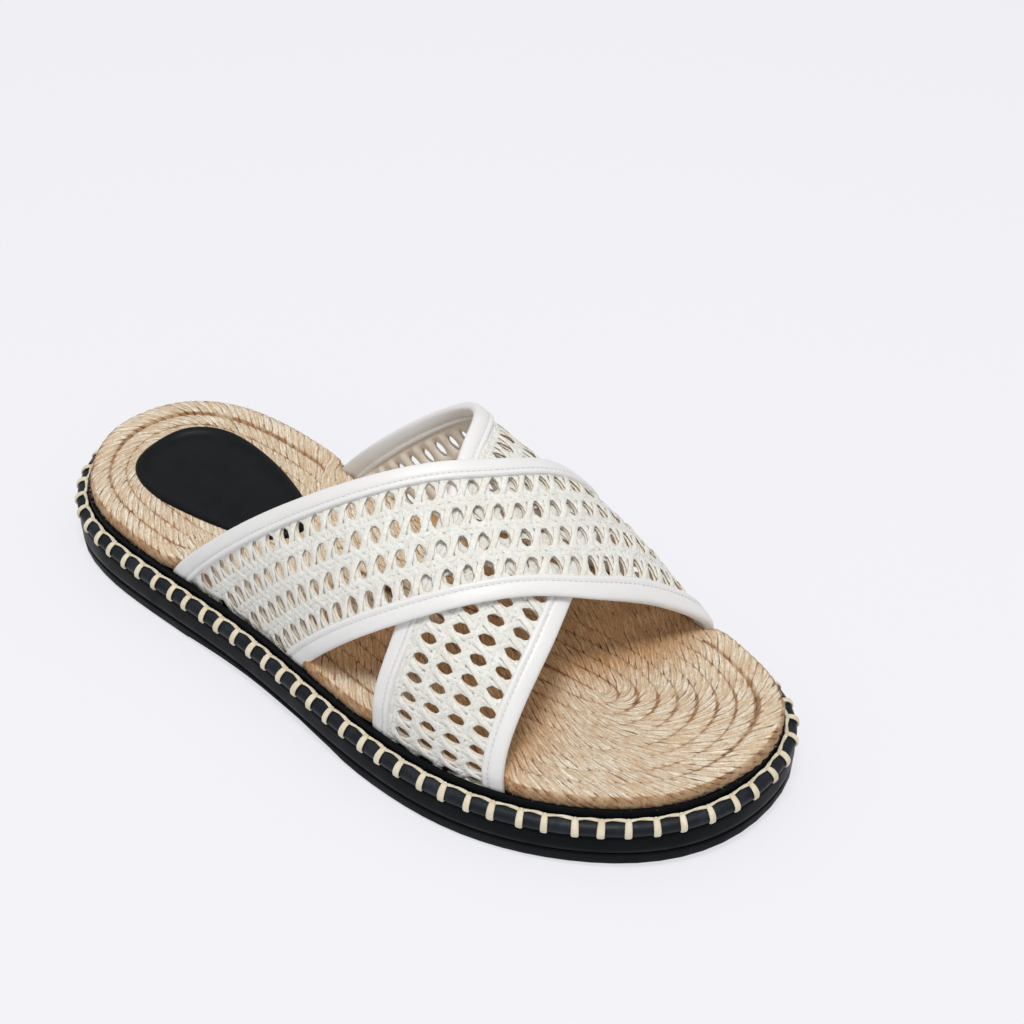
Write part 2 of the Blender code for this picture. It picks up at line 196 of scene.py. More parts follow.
def only(*pieces):
    """Selects these objects and no others, and makes the last one active."""
    bpy.ops.object.select_all(action="DESELECT")
    for piece in pieces:
        piece.select_set(True)
        bpy.context.view_layer.objects.active = piece


def sewn_up(piece, within=0.000002, sharp=None):
    """Merges the doubled points, turns the faces outwards and smooths them."""
    only(piece)
    bpy.ops.object.mode_set(mode="EDIT")
    bpy.ops.mesh.select_all(action="SELECT")
    bpy.ops.mesh.remove_doubles(threshold=within)
    bpy.ops.mesh.normals_make_consistent(inside=False)
    bpy.ops.object.mode_set(mode="OBJECT")
    if sharp is None:
        bpy.ops.object.shade_smooth()
    else:
        bpy.ops.object.shade_smooth_by_angle(angle=math.radians(sharp))
    return piece


def rubber(name, colour, roughness, grain_size, grain_depth):
    """Moulded rubber: a fine even grain, and a dusty bloom in patches."""
    finish = Finish(name)
    bloom = finish.ramp(finish.noise(38.0, 4.0, 0.6), (0.35, 0.0), (0.75, 1.0))
    return finish.shown(
        Base_Color=finish.blend(bloom, colour, tuple(c * 1.5 + 0.0008 for c in colour)),
        Specular_IOR_Level=0.05,
        Roughness=finish.ramp(finish.noise(120.0), (0.3, roughness - 0.07), (0.7, roughness + 0.1)),
        Normal=finish.bump(finish.noise(grain_size, 3.0, 0.6), 0.35, grain_depth),
    )


def dressed(piece, finish):
    piece.data.materials.clear()
    piece.data.materials.append(finish)
    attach(piece, "root")


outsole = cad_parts["outsole"].copy()
outsole.data = outsole.data.copy()
outsole.name = outsole.data.name = "outsole_tread"
outsole.parent = None
for key in list(outsole.keys()):
    del outsole[key]
bpy.context.scene.collection.objects.link(outsole)
only(outsole)
bpy.ops.mesh.customdata_custom_splitnormals_clear()
sewn_up(outsole, within=0.000005, sharp=32)
dressed(outsole, rubber("tread_rubber", TREAD_BLACK, 0.52, 1700.0, 0.00012))
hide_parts("outsole")

# ---- Midsole ----
# The black rubber wall, its ledge for the rand, and the thin lip that holds the straps and the rope.
# It is one moulding, glued to the tread: a hairline seam shows between them.
MIDSOLE_BLACK = (0.0024, 0.0034, 0.0044)
SOLE_LENGTH = 0.261
SOLE_OUTLINE = (
    (0.0, -0.001), (0.011, 0.031), (0.049, 0.0425), (0.095, 0.039),
    (0.1445, 0.0465), (0.185, 0.053), (0.224, 0.048), (0.256, 0.03),
    (0.259, -0.0055), (0.2475, -0.025), (0.2285, -0.0395), (0.19, -0.0525),
    (0.1485, -0.051), (0.1045, -0.0435), (0.055, -0.0395), (0.016, -0.0285),
)
SOLE_POINTS = 480
HEEL_LIFT = 0.002
TOE_LIFT, TOE_LIFT_START = 0.0026, 0.205
TOE_SPRING, SPRING_START = 0.0018, 0.172
# In from the outline, height, and how much of the level's rise the row takes: all of it where none is given.
MIDSOLE_PROFILE = (
    (0.0009, 0.005, 0.0), (0.0003, 0.0053, 0.0), (0.0, 0.0058, 0.05), (-0.0001, 0.0072, 0.3),
    (0.0, 0.009, 0.6), (0.0001, 0.0104, 0.8), (0.0002, 0.0112), (0.0005, 0.01165), (0.0012, 0.0117),
    (0.004, 0.0117), (0.0041, 0.012), (0.0041, 0.0181), (0.0042, 0.0185), (0.0045, 0.0186),
    (0.0049, 0.01855), (0.0052, 0.0183), (0.0052, 0.0136),
)


def smooth_step(value, low, high):
    share = np.clip((value - low) / (high - low), 0.0, 1.0)
    return share * share * (3.0 - 2.0 * share)


def cubic(t, step, start, start_slope, end, end_slope):
    """Points at shares t of one step of a smooth curve, from its ends and the slopes there."""
    first = (2 * t**3 - 3 * t**2 + 1) * start + (t**3 - 2 * t**2 + t) * step * start_slope
    return first + (3 * t**2 - 2 * t**3) * end + (t**3 - t**2) * step * end_slope


def closed_curve(points, count):
    """Evenly spaced points on the periodic cubic spline through the given points, starting at the first."""
    knots = np.array(points)
    total = len(knots)
    after = np.roll(knots, -1, axis=0)
    steps = np.linalg.norm(after - knots, axis=1)
    before = np.roll(steps, 1)
    slopes = (after - knots) / steps[:, None]
    system = np.zeros((total, total))
    for i in range(total):
        system[i, i - 1] = steps[i]
        system[i, i] = 2.0 * (steps[i] + before[i])
        system[i, (i + 1) % total] = before[i]
    right = 3.0 * (slopes * before[:, None] + np.roll(slopes, 1, axis=0) * steps[:, None])
    tangents = np.linalg.solve(system, right)
    t = np.arange(0.0, 1.0, 0.01)[:, None]
    rows = zip(steps, knots, tangents, after, np.roll(tangents, -1, axis=0))
    return evenly(np.vstack([cubic(t, *row) for row in rows]), count)


def run_of(line):
    """The distance run at each point of an open line."""
    return np.concatenate([[0.0], np.cumsum(np.linalg.norm(np.diff(line, axis=0), axis=1))])


def evenly(loop, count):
    """A closed line of points, spaced evenly."""
    closed = np.vstack([loop, loop[:1]])
    run = run_of(closed)
    wanted = np.linspace(0.0, run[-1], count, endpoint=False)
    return np.stack([np.interp(wanted, run, closed[:, k]) for k in range(closed.shape[1])], axis=1)


def inward_of(loop):
    """Unit normals to the inside of a loop that runs clockwise seen from above."""
    ahead = np.roll(loop, -1, axis=0) - np.roll(loop, 1, axis=0)
    ahead /= np.linalg.norm(ahead, axis=1)[:, None]
    return np.stack([ahead[:, 1], -ahead[:, 0]], axis=1)


def loop_length(loop):
    return float(np.linalg.norm(np.roll(loop, -1, axis=0) - loop, axis=1).sum())


def at(loop, share):
    """Points at shares of the way round a closed line."""
    total = len(loop)
    place = np.mod(share, 1.0) * total
    low = np.floor(place).astype(int) % total
    part = (place - np.floor(place))[:, None]
    return loop[low] * (1.0 - part) + loop[(low + 1) % total] * part


def level(from_heel):
    """How far the rand, the lip and the footbed stand above their heights at the middle of the forefoot."""
    toe = np.clip((from_heel - TOE_LIFT_START) / (SOLE_LENGTH - TOE_LIFT_START), 0.0, None) ** 2
    return HEEL_LIFT * (1.0 - from_heel / SOLE_LENGTH) + TOE_LIFT * toe


def spring(from_heel):
    """How far the tread stands off the floor."""
    return TOE_SPRING * np.clip((from_heel - SPRING_START) / (SOLE_LENGTH - SPRING_START), 0.0, None) ** 2


SOLE_RING = closed_curve(SOLE_OUTLINE, SOLE_POINTS)
SOLE_INWARD = inward_of(SOLE_RING)
SOLE_ROUND = loop_length(SOLE_RING)


def placed(plan, height):
    """Points of the plan, which starts at the heel, in the shoe's own frame, which starts at its middle."""
    return np.column_stack([plan[:, 0] - SOLE_LENGTH / 2.0, plan[:, 1], height])


def on_sole(share, inset, height, rise=level):
    """Points round the sole: share of the way round, distance in from the outline, height before its rise."""
    plan = at(SOLE_RING, share) + at(SOLE_INWARD, share) * np.asarray(inset)[:, None]
    return placed(plan, height + rise(plan[:, 0]))


def patch(name, along, across):
    """A flat pattern piece one unit long and wide, with so many strips each way. Its low corner is at the origin."""
    bpy.ops.object.select_all(action="DESELECT")
    bpy.ops.mesh.primitive_grid_add(x_subdivisions=along, y_subdivisions=across, size=1.0, location=(0.5, 0.5, 0.0))
    piece = bpy.context.object
    piece.name = piece.data.name = name
    bpy.ops.object.transform_apply(location=True)
    return piece


def points_of(piece):
    points = np.empty(len(piece.data.vertices) * 3)
    piece.data.vertices.foreach_get("co", points)
    return points.reshape(-1, 3)


def reshape(piece, points):
    piece.data.vertices.foreach_set("co", np.ascontiguousarray(points, np.float32).ravel())
    piece.data.update()


def capped(piece):
    """Fills the open rims."""
    only(piece)
    bpy.ops.object.mode_set(mode="EDIT")
    bpy.ops.mesh.select_all(action="DESELECT")
    bpy.ops.mesh.select_mode(type="EDGE")
    bpy.ops.mesh.select_non_manifold(extend=False)
    bpy.ops.mesh.fill_holes(sides=0)
    bpy.ops.mesh.select_mode(type="VERT")
    bpy.ops.object.mode_set(mode="OBJECT")
    return piece


def moulding(name, profile, closed=False, sharp=40):
    """A band round the whole sole, drawn along a profile, which is closed or gets a flat underside."""
    profile = np.array([(*row, 1.0)[:3] for row in profile])
    strips = len(profile) if closed else len(profile) - 1
    piece = patch(name, SOLE_POINTS, strips)
    pattern = points_of(piece)
    rows = np.rint(pattern[:, 1] * strips).astype(int) % len(profile)
    inset, height, mix = profile[rows].T
    low = on_sole(pattern[:, 0], inset, height, spring)
    high = on_sole(pattern[:, 0], inset, height, level)
    reshape(piece, low * (1.0 - mix[:, None]) + high * mix[:, None])
    sewn_up(piece, sharp=sharp)
    return piece if closed else sewn_up(capped(piece), sharp=sharp)


midsole = moulding("midsole_wall_and_lip", MIDSOLE_PROFILE)
dressed(midsole, rubber("midsole_moulding", MIDSOLE_BLACK, 0.4, 1500.0, 0.0001))
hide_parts("midsole")

# ---- Rand ----
# A strip of dark leather laid on the ledge of the wall, folded over at its outer edge and sewn down.
# The outer face is pulled flat by the stitches, so a soft edge runs between it and the top.
RAND_COLOUR, RAND_WORN = (0.009, 0.012, 0.016), (0.026, 0.032, 0.04)
RAND_PROFILE = (
    (0.0038, 0.012), (0.0006, 0.012), (0.0001, 0.0122), (-0.0001, 0.0127), (-0.0001, 0.0134), (0.0, 0.0139),
    (0.0003, 0.0145), (0.0008, 0.015), (0.0016, 0.0154), (0.0026, 0.0156), (0.0034, 0.0156), (0.0038, 0.0153),
)

rand = moulding("rand_strip", RAND_PROFILE, closed=True, sharp=60)
leather = Finish("rand_strip_leather")
creases = leather.noise(260.0, 4.0, 0.65)
worn = leather.ramp(leather.noise(90.0, 5.0, 0.7), (0.45, 0.0), (0.72, 1.0))
dressed(rand, leather.shown(
    Base_Color=leather.blend(worn, RAND_COLOUR, RAND_WORN),
    Specular_IOR_Level=0.16,
    Roughness=leather.ramp(creases, (0.3, 0.36), (0.7, 0.52)),
    Normal=leather.bump(creases, 0.35, 0.00025, leather.bump(leather.pebbles(1900.0), 0.25, 0.00008)),
))
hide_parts("rand")

# ---- Blanket stitches ----
# Waxed cream cotton, sewn by hand round the whole sole: a bar comes over the rand at each hole, and the
# thread runs on from knot to knot along its inner edge.
STITCHES, FIRST_STITCH, STITCH_SHAKE = 81, 0.56, 0.06
THREAD_CREAM, THREAD_LIGHT = (0.66, 0.565, 0.385), (0.8, 0.73, 0.58)
# In from the outline, height, and half the bar's width there.
BAR_PATH = (
    (0.0026, 0.0156, 0.0005), (0.003, 0.016, 0.0007), (0.0027, 0.01618, 0.00084), (0.0019, 0.01612, 0.00094),
    (0.001, 0.0158, 0.001), (0.0002, 0.01515, 0.00103), (-0.0004, 0.0143, 0.00104),
    (-0.00055, 0.0135, 0.00105), (-0.00052, 0.0128, 0.00105), (-0.0003, 0.01235, 0.00104),
    (0.0006, 0.01215, 0.001),
)
BAR_THICKNESS, BAR_RIDGES = 0.00042, 0.1
KNOT_INSET, KNOT_RADIUS, KNOT_THREAD = 0.0029, 0.00058, 0.00028
KNOT_HEIGHT, CHAIN_HEIGHT = 0.0159, 0.01592
AS_ONE = 0.0000001  # points closer than this are one


def taken(piece):
    """A master's points and faces; the master itself goes."""
    points, faces = points_of(piece), [tuple(face.vertices) for face in piece.data.polygons]
    bpy.data.objects.remove(piece)
    return points, faces


def copied(name, faces, copies):
    """A piece made of copies of one master, each given by its points."""
    mesh = bpy.data.meshes.new(name)
    size = len(copies[0])
    corners = [tuple(corner + k * size for corner in face) for k in range(len(copies)) for face in faces]
    mesh.from_pydata(np.vstack(copies).tolist(), [], corners)
    made = bpy.data.objects.new(name, mesh)
    bpy.context.scene.collection.objects.link(made)
    return made


def as_one(name, *pieces):
    """Joins the pieces into the last of them."""
    only(*pieces)
    bpy.ops.object.join()
    joined = bpy.context.object
    joined.name = joined.data.name = name
    return joined


def round_the_sole(master, shaped):
    """Copies of a piece in sole units (along, inset and height), one at each stitch."""
    points, faces = taken(master)
    copies = []
    for count, share in enumerate(stitch_shares):
        along, inset, height = shaped(points, count).T
        copies.append(on_sole(share + along / SOLE_ROUND, inset, height))
    return sewn_up(copied("round_the_sole", faces, copies), within=AS_ONE)


rng = np.random.default_rng(5)
shake = rng.uniform(-STITCH_SHAKE, STITCH_SHAKE, STITCHES)
stitch_shares = (np.arange(STITCHES) + FIRST_STITCH + shake) / STITCHES
# They are pulled a little wider round the toe than at the heel.
at_toe, at_heel = 0.0042 * np.sin(3.0 * np.pi * (stitch_shares - 0.5)), -0.0042 + 0.0031 * stitch_shares
stitch_shares += np.where(stitch_shares > 0.42, at_toe, at_heel)
lean = rng.uniform(-0.0003, 0.0003, STITCHES)
girth = rng.uniform(0.92, 1.08, STITCHES)


def tube(name, steps, sides, shape, ends=True):
    """A tube whose shape is a function of the share along it and the angle around it. Its ends are closed."""
    piece = patch(name, steps, sides)
    share, around, _ = points_of(piece).T
    reshape(piece, np.column_stack(shape(share, 2.0 * np.pi * around)))
    sewn_up(piece)
    return sewn_up(capped(piece)) if ends else piece


def bar_shape(share, turn):
    """The thread doubled and laid flat, over the rand and down its outer face."""
    path, half_width = np.array(BAR_PATH)[:, :2], np.array(BAR_PATH)[:, 2]
    step = np.rint(share * (len(path) - 1)).astype(int)
    ahead = np.gradient(path, axis=0)
    ahead /= np.linalg.norm(ahead, axis=1)[:, None]
    up = np.column_stack([ahead[:, 1], -ahead[:, 0]])[step]
    thick = BAR_THICKNESS * np.sin(turn) * (1.0 + BAR_RIDGES * np.cos(3.0 * np.pi * np.cos(turn)))
    return half_width[step] * np.cos(turn), path[step] + up * thick[:, None]


def uneven(points, count):
    along, inset, height = points.T
    slant = lean[count] * (KNOT_INSET - inset) / KNOT_INSET
    return np.column_stack([along * girth[count] + slant, inset, height])


def chain_shape(along, turn, phase):
    """One of the two twisted threads from one knot to the next, along x from 0 to 1."""
    twist = np.pi * along + phase
    bow = np.sin(np.pi * along) ** 0.7
    inset = KNOT_INSET - 0.0003 + 0.00062 * bow + 0.00024 * np.cos(twist) + 0.00038 * np.cos(turn)
    height = CHAIN_HEIGHT + 0.00014 * bow + 0.00012 * np.sin(twist) + 0.0003 * np.sin(turn)
    return along, inset, height


def stretched_between(points, count):
    here, there = stitch_shares[count], stitch_shares[(count + 1) % STITCHES] + (count == STITCHES - 1)
    return np.column_stack([points[:, 0] * (there - here) * SOLE_ROUND, points[:, 1:]])


def knot_shape(share, turn):
    """A ring of thread."""
    ring = 2.0 * np.pi * share
    reach = KNOT_RADIUS + KNOT_THREAD * np.cos(turn)
    inset = KNOT_INSET - 0.0002 + 0.00022 * np.sin(turn) + 0.0004 * np.sin(ring)
    return reach * np.cos(ring), inset, KNOT_HEIGHT + reach * np.sin(ring) * 0.75


made = [round_the_sole(tube("one_bar", len(BAR_PATH) - 1, 14, bar_shape), uneven)]
for phase in (0.0, np.pi):
    chain = tube("one_thread", 12, 6, lambda along, turn: chain_shape(along, turn, phase))
    made.append(round_the_sole(chain, stretched_between))
made.append(round_the_sole(tube("one_knot", 12, 6, knot_shape, ends=False), lambda points, _: points))
stitches = as_one("blanket_stitches", *reversed(made))

thread = Finish("cream_thread")
tone = thread.ramp(thread.noise(300.0, 3.0, 0.6), (0.3, 0.0), (0.7, 1.0))
dressed(stitches, thread.shown(
    Base_Color=thread.blend(tone, THREAD_CREAM, THREAD_LIGHT),
    Roughness=0.62,
    Sheen_Weight=0.25,
    Normal=thread.bump(thread.noise(2600.0, 3.0, 0.7), 0.5, 0.00012),
))

# ---- Rope footbed ----
# Nine-ply jute rope laid flat, round and round from the edge to the middle of the forefoot, pressed and glued to a
# board. It stands back where a strap end goes down beside it, and spreads over the lip along the medial side and heel.
ROPE_FIRST, ROPE_SECOND, ROPE_PITCH = 0.0087, 0.0056, 0.0051
ROPE_HALF_WIDTH, ROPE_HALF_HEIGHT = 0.0033, 0.0027
OUTER_HALF_WIDTH, OUTER_SPREAD = 0.0036, 0.0011
ROPE_MIDDLE = 0.0197
PLIES, ROPE_LAY = 9, 0.0275  # and the length of one full turn of the plies
ROPE_STEP, ROPE_SIDES = 0.0008, 22
ROPE_SIDE_ROUND, ROPE_TOP_ROUND = 0.6, 0.38  # the less, the squarer the pressed section is
PLY_HOLLOW, PLY_HOLLOW_SIDE = 0.022, 0.1  # how deep it sinks between two plies, and how much more at the sides
LAID_SWAY, LAID_RISE = 0.00012, 0.0001
CLOSING = (0.15, 0.185)  # from here the turns leave the outline's shape, and from there they close on the seam
SEAM_HEEL, SEAM_TOE, SEAM_REACH = (0.15, -0.0012), (0.2065, 0.0008), 0.0445
ROPE_TUCK = 0.0026
HEART_MIDDLE, HEART_LONG, HEART_WIDE, HEART_SKEW = 0.181, 0.0278, 0.003, 0.001
# Where each inner turn ends towards the heel; the first five go all the way round.
TURN_ENDS = (-1.0, -1.0, -1.0, -1.0, -1.0, 0.084, 0.12)
# The heel and toe edge of each strap: distance from the heel at the lateral and the medial side, bulge to the toe,
# lean of the bulge, and extra at the crown.
STRAP_EDGES = {
    "under": ((0.1583, 0.0758, 0.0335, -0.0056, -0.0035), (0.2046, 0.1408, 0.0216, -0.0048, 0.0)),
    "over": ((0.0654, 0.1668, 0.0376, 0.0039, 0.0), (0.1268, 0.2185, 0.026, 0.002, 0.0)),
}
JUTE, JUTE_PALE = (0.63, 0.435, 0.25), (1.0, 0.96, 0.83)
# The dark colour and the two after it are painted shade: in the ply lines, in the grooves and down the turns' sides.
JUTE_DARK, JUTE_GROOVE_SHADE, JUTE_FLANK_SHADE = (0.125, 0.047, 0.012), (0.36, 0.16, 0.055), (0.5, 0.31, 0.15)
# The second colour is painted shade under the straps; the first darkens random fibres and is painted shade by ply
# lines.
JUTE_SHADE, JUTE_UNDER_STRAP_SHADE = (0.5, 0.32, 0.165), (0.76, 0.54, 0.35)


def power(value, exponent):
    """A power that keeps the sign."""
    return np.sign(value) * np.abs(value) ** exponent


def strap_foot(plan):
    """1 beside a strap end, 0 clear of it."""
    found = np.zeros(len(plan))
    for heel, toe in STRAP_EDGES.values():
        for number, side in enumerate((-1.0, 1.0)):
            inside = np.minimum(plan[:, 0] - heel[number], toe[number] - plan[:, 0])
            found = np.maximum(found, smooth_step(inside, -0.0012, 0.0018) * (plan[:, 1] * side > 0.0))
    return found


def under_strap_shade(plan):
    """How much shade is painted on the rope: 1 under the middle of a strap, falling to 0 a little outside its edges."""
    t = np.clip(0.5 + plan[:, 1] / 0.094, 0.0, 1.0)
    found = np.zeros(len(plan))
    for edges in STRAP_EDGES.values():
        heel, toe = (start + (end - start) * t + 4.0 * t * (1.0 - t) * bulge for start, end, bulge, *_ in edges)
        found = np.maximum(found, smooth_step(np.minimum(plan[:, 0] - heel, toe - plan[:, 0]), -0.008, 0.01))
    return found


def softened(loop, width):
    """Rounds the corners of an evenly spaced closed line over this many points."""
    reach = np.arange(-3 * width, 3 * width + 1)
    weight = np.exp(-0.5 * (reach / width) ** 2)
    weight /= weight.sum()
    return sum(w * np.roll(loop, k, axis=0) for w, k in zip(weight, reach))


def turn_inside(first, inset, end):
    """A turn this far inside the first one. It keeps its distance along the waist and heel, and in the forefoot
    it closes evenly on the seam in the middle, so that its toe end stays round. It ends at a distance from the heel."""
    seam = np.subtract(SEAM_TOE, SEAM_HEEL)
    share = np.clip((first - SEAM_HEEL) @ seam / (seam @ seam), 0.0, 1.0)
    to_seam = SEAM_HEEL + share[:, None] * seam - first
    closing = smooth_step(first[:, 0], *CLOSING)
    moved = first + ((1.0 - closing) * inset)[:, None] * inward_of(first)
    moved = moved + (closing * inset / SEAM_REACH)[:, None] * to_seam
    gap = np.sqrt(((moved[:, None, :] - first[None, :, :]) ** 2).sum(axis=2)).min(axis=1)
    moved = moved[((gap > inset * 0.985) | (closing > 0.3)) & (moved[:, 0] > end)]
    count = max(24, int(loop_length(moved) / ROPE_STEP))
    return evenly(softened(evenly(moved, count), 4), count)


def wander(share, seed, size):
    """A slow closed wave for what is laid by hand."""
    draw = np.random.default_rng(seed)
    total = np.zeros_like(share)
    for waves in (3, 5, 8, 13, 21):
        total += draw.normal() / math.sqrt(waves) * np.sin(2.0 * np.pi * (waves * share + draw.random()))
    return size * total


def far_side(plan):
    """1 along the medial side and round the back of the heel, 0 on the lateral side."""
    return smooth_step(plan[:, 1] + 0.35 * np.clip(0.03 - plan[:, 0], 0.0, 1.0), -0.008, 0.012)


def round_section(turn):
    """How far round the pressed section an angle is, as a share of its girth."""
    fine = np.linspace(0.0, 2.0 * np.pi, 1441)
    x = ROPE_HALF_WIDTH * power(np.cos(fine), ROPE_SIDE_ROUND)
    y = ROPE_HALF_HEIGHT * power(np.sin(fine), ROPE_TOP_ROUND)
    steps = np.hypot(np.diff(x), np.diff(y))
    run = np.concatenate([[0.0], np.cumsum(steps)]) / steps.sum()
    return np.interp(np.mod(turn, 2.0 * np.pi), fine, run) + np.floor(turn / (2.0 * np.pi))


def marked(piece, name, values):
    """Marks each point with a value for the finish to read."""
    mark = piece.data.attributes.new(name, "FLOAT", "POINT")
    mark.data.foreach_set("value", np.clip(values, 0.0, 1.0).astype(np.float32))


def rope_turn(name, line, seed, half_width=ROPE_HALF_WIDTH, outer=0.0):
    """A closed turn of rope on its line, flattened by the press, with the plies' twist in its surface."""
    piece = patch(name, len(line), ROPE_SIDES)
    pattern = points_of(piece)
    share = pattern[:, 0]
    turn = 2.0 * np.pi * pattern[:, 1] + 0.45 * np.cos(2.0 * np.pi * pattern[:, 1])
    length = loop_length(line)
    turns = max(1, round(length / ROPE_LAY))
    phase = PLIES * (round_section(turn) - turns * share) - wander(share, seed, 0.3)
    middle = 2.0 * np.abs(np.mod(phase, 1.0) - 0.5)
    depth = (1.0 - np.sqrt(1.0 - 0.9 * middle**2)) / 0.684
    slope = np.abs(np.cos(turn))
    girth = 1.0 - (PLY_HOLLOW + PLY_HOLLOW_SIDE * slope**2) * depth
    plan, inward = at(line, share), at(inward_of(line), share)
    spread = outer * far_side(plan) * (1.0 - strap_foot(plan))
    sway = wander(share, seed + 40, LAID_SWAY)
    rise = wander(share, seed + 80, LAID_RISE)
    out = (half_width + 0.5 * spread) * power(np.cos(turn), ROPE_SIDE_ROUND) * girth
    up = ROPE_HALF_HEIGHT * power(np.sin(turn), ROPE_TOP_ROUND) * girth
    plan = plan + inward * (sway - out - 0.5 * spread)[:, None]
    height = ROPE_MIDDLE + up + rise + 0.9 * spread * np.clip(np.sin(turn), 0.0, 1.0) + level(plan[:, 0])
    reshape(piece, placed(plan, height))
    marked(piece, "flank", slope)
    # how much shade is painted on the rope under the straps
    marked(piece, "strap_shade", under_strap_shade(plan))
    lay = piece.data.uv_layers.active or piece.data.uv_layers.new(name="UVMap")
    along = share * length / 0.01 + seed * 7.3
    corner = np.empty(len(piece.data.loops), np.int32)
    piece.data.loops.foreach_get("vertex_index", corner)
    lay.data.foreach_set("uv", np.column_stack([along, phase])[corner].astype(np.float32).ravel())
    return sewn_up(piece)


def tucked(line, inset):
    """A line moved in beside the strap ends, less and less for the inner turns."""
    less = max(0.0, 1.0 - inset / 0.02)
    return line + inward_of(line) * (ROPE_TUCK * strap_foot(line) * less)[:, None]


rim = closed_curve(SOLE_OUTLINE, 1440)
first = rim + inward_of(rim) * ROPE_FIRST
first = evenly(first, int(loop_length(first) / ROPE_STEP))
insets = [0.0] + [ROPE_SECOND + ROPE_PITCH * number for number in range(len(TURN_ENDS))]
lines = [first] + [turn_inside(first, inset, end) for inset, end in zip(insets[1:], TURN_ENDS)]
laid_lines = [evenly(softened(tucked(line, inset), 3), len(line)) for line, inset in zip(lines, insets)]
turns = [rope_turn("turn_0", laid_lines[0], 1, OUTER_HALF_WIDTH, OUTER_SPREAD)]
turns += [rope_turn(f"turn_{number}", line, number + 1) for number, line in enumerate(laid_lines) if number]
centre_turn = -2.0 * np.pi * np.arange(72) / 72.0
heart_x = HEART_MIDDLE + HEART_LONG * np.cos(centre_turn)
heart_y = HEART_SKEW * np.cos(centre_turn) + HEART_WIDE * power(np.sin(centre_turn), 0.5)
turns.append(rope_turn("rope_end", evenly(np.column_stack([heart_x, heart_y]), 84), 13, 0.0034))
rope = as_one("rope_footbed", *turns)

# Fibres run along each ply and lie loose on it. Where two plies meet a dark line of painted shade runs, strongest down
# the flanks and broken over the top. The grooves between the turns and the sides of each turn get painted shade.
jute = Finish("jute_rope")
lay = jute.add("UVMap", {"uv_map": "UVMap"}).outputs["UV"]


def combed(along, around, *settings):
    """Noise drawn out along the plies: its scale to a centimetre along the rope and to a ply around it."""
    return jute.noise(1.0, *settings, at=jute.add("Mapping", Vector=lay, Scale=(along, around, 1.0)).outputs["Vector"])


def off_middle(value):
    return jute.math("ABSOLUTE", jute.math("SUBTRACT", jute.math("FRACT", value), 0.5))


strands = combed(2.6, 4.6, 4.0, 0.7, 0.5)
fibres = combed(6.0, 12.0, 4.0, 0.75, 0.6)
bundles = combed(1.1, 1.2)
bent = combed(2.3, 0.8, 3.0, 0.6)
patches = jute.noise(70.0, 3.0, 0.6)
chance = jute.noise(300.0, 2.0)
felt = jute.noise(1300.0, 4.0, 0.75, 0.8)
flank = jute.mark("flank")
around = jute.add("SeparateXYZ", Vector=lay).outputs["Y"]
shaken = jute.math("ADD", around, jute.math("MULTIPLY", strands, 0.22))
shaken = jute.math("ADD", shaken, jute.math("MULTIPLY", bent, 0.9))
yarn = off_middle(jute.math("MULTIPLY", shaken, 2.0))
beside = off_middle(jute.math("ADD", shaken, -0.06))
hollow = jute.ramp(beside, (0.0, 0.0), (0.3, 1.0))
meeting = jute.ramp(beside, (0.0, 1.0), (0.065, 0.9), (0.14, 0.0))
# Beside each ply line the jute gets a soft painted shade.
near = jute.math("MULTIPLY", jute.ramp(beside, (0.0, 0.55), (0.18, 0.0)), jute.ramp(bundles, (0.44, 0.1), (0.62, 1.0)))
where = jute.math("ADD", jute.ramp(flank, (0.18, 0.0), (0.56, 1.0)), jute.ramp(bundles, (0.49, 0.0), (0.6, 0.85)))
broken = jute.math("MULTIPLY", jute.math("MINIMUM", where, 1.0), jute.ramp(chance, (0.38, 0.1), (0.58, 1.0)))
ply_line_shade = jute.math("MULTIPLY", meeting, broken)
# The grooves where the turns meet: a warm painted shade goes there.
flanks = jute.ramp(flank, (0.52, 0.0), (0.66, 0.9), (0.99, 0.6))
gap = jute.math("MULTIPLY", flanks, jute.ramp(chance, (0.4, 0.1), (0.58, 1.0)))
base = jute.blend(jute.ramp(strands, (0.4, 0.0), (0.55, 1.0)), JUTE, JUTE_PALE)
# Each layer over the base: where it shows, and its colour. Under the straps the jute gets a deeper painted shade.
for cover, colour in (
    (jute.ramp(fibres, (0.32, 0.75), (0.47, 0.0)), JUTE_SHADE),
    (jute.ramp(bundles, (0.38, 0.6), (0.56, 0.0)), (0.64, 0.44, 0.24)),
    (jute.ramp(patches, (0.3, 0.22), (0.6, 0.0)), (0.6, 0.38, 0.2)),
    (jute.ramp(felt, (0.36, 0.5), (0.48, 0.0)), (0.48, 0.3, 0.155)),
    (jute.ramp(felt, (0.54, 0.0), (0.68, 0.45)), (0.98, 0.9, 0.74)),
    (jute.ramp(yarn, (0.32, 0.0), (0.48, 0.32)), (0.46, 0.28, 0.14)),
    # painted shade beside the lines where two plies meet
    (near, JUTE_SHADE),
    # painted shade down the sides of each turn
    (jute.ramp(flank, (0.48, 0.0), (0.66, 0.45), (0.99, 0.85)), JUTE_FLANK_SHADE),
    # painted warm shade in the grooves between turns
    (gap, JUTE_GROOVE_SHADE),
    # painted shade in the dark lines where two plies meet
    (ply_line_shade, jute.blend(jute.ramp(patches, (0.44, 0.0), (0.58, 1.0)), JUTE_GROOVE_SHADE, JUTE_DARK)),
):
    base = jute.blend(cover, base, colour)
coarse = jute.bump(strands, 0.9, 0.00045)
fine = jute.bump(felt, 0.7, 0.00016, jute.bump(fibres, 0.8, 0.00018, coarse))
relief = jute.math("SUBTRACT", hollow, jute.math("MULTIPLY", ply_line_shade, 1.6))
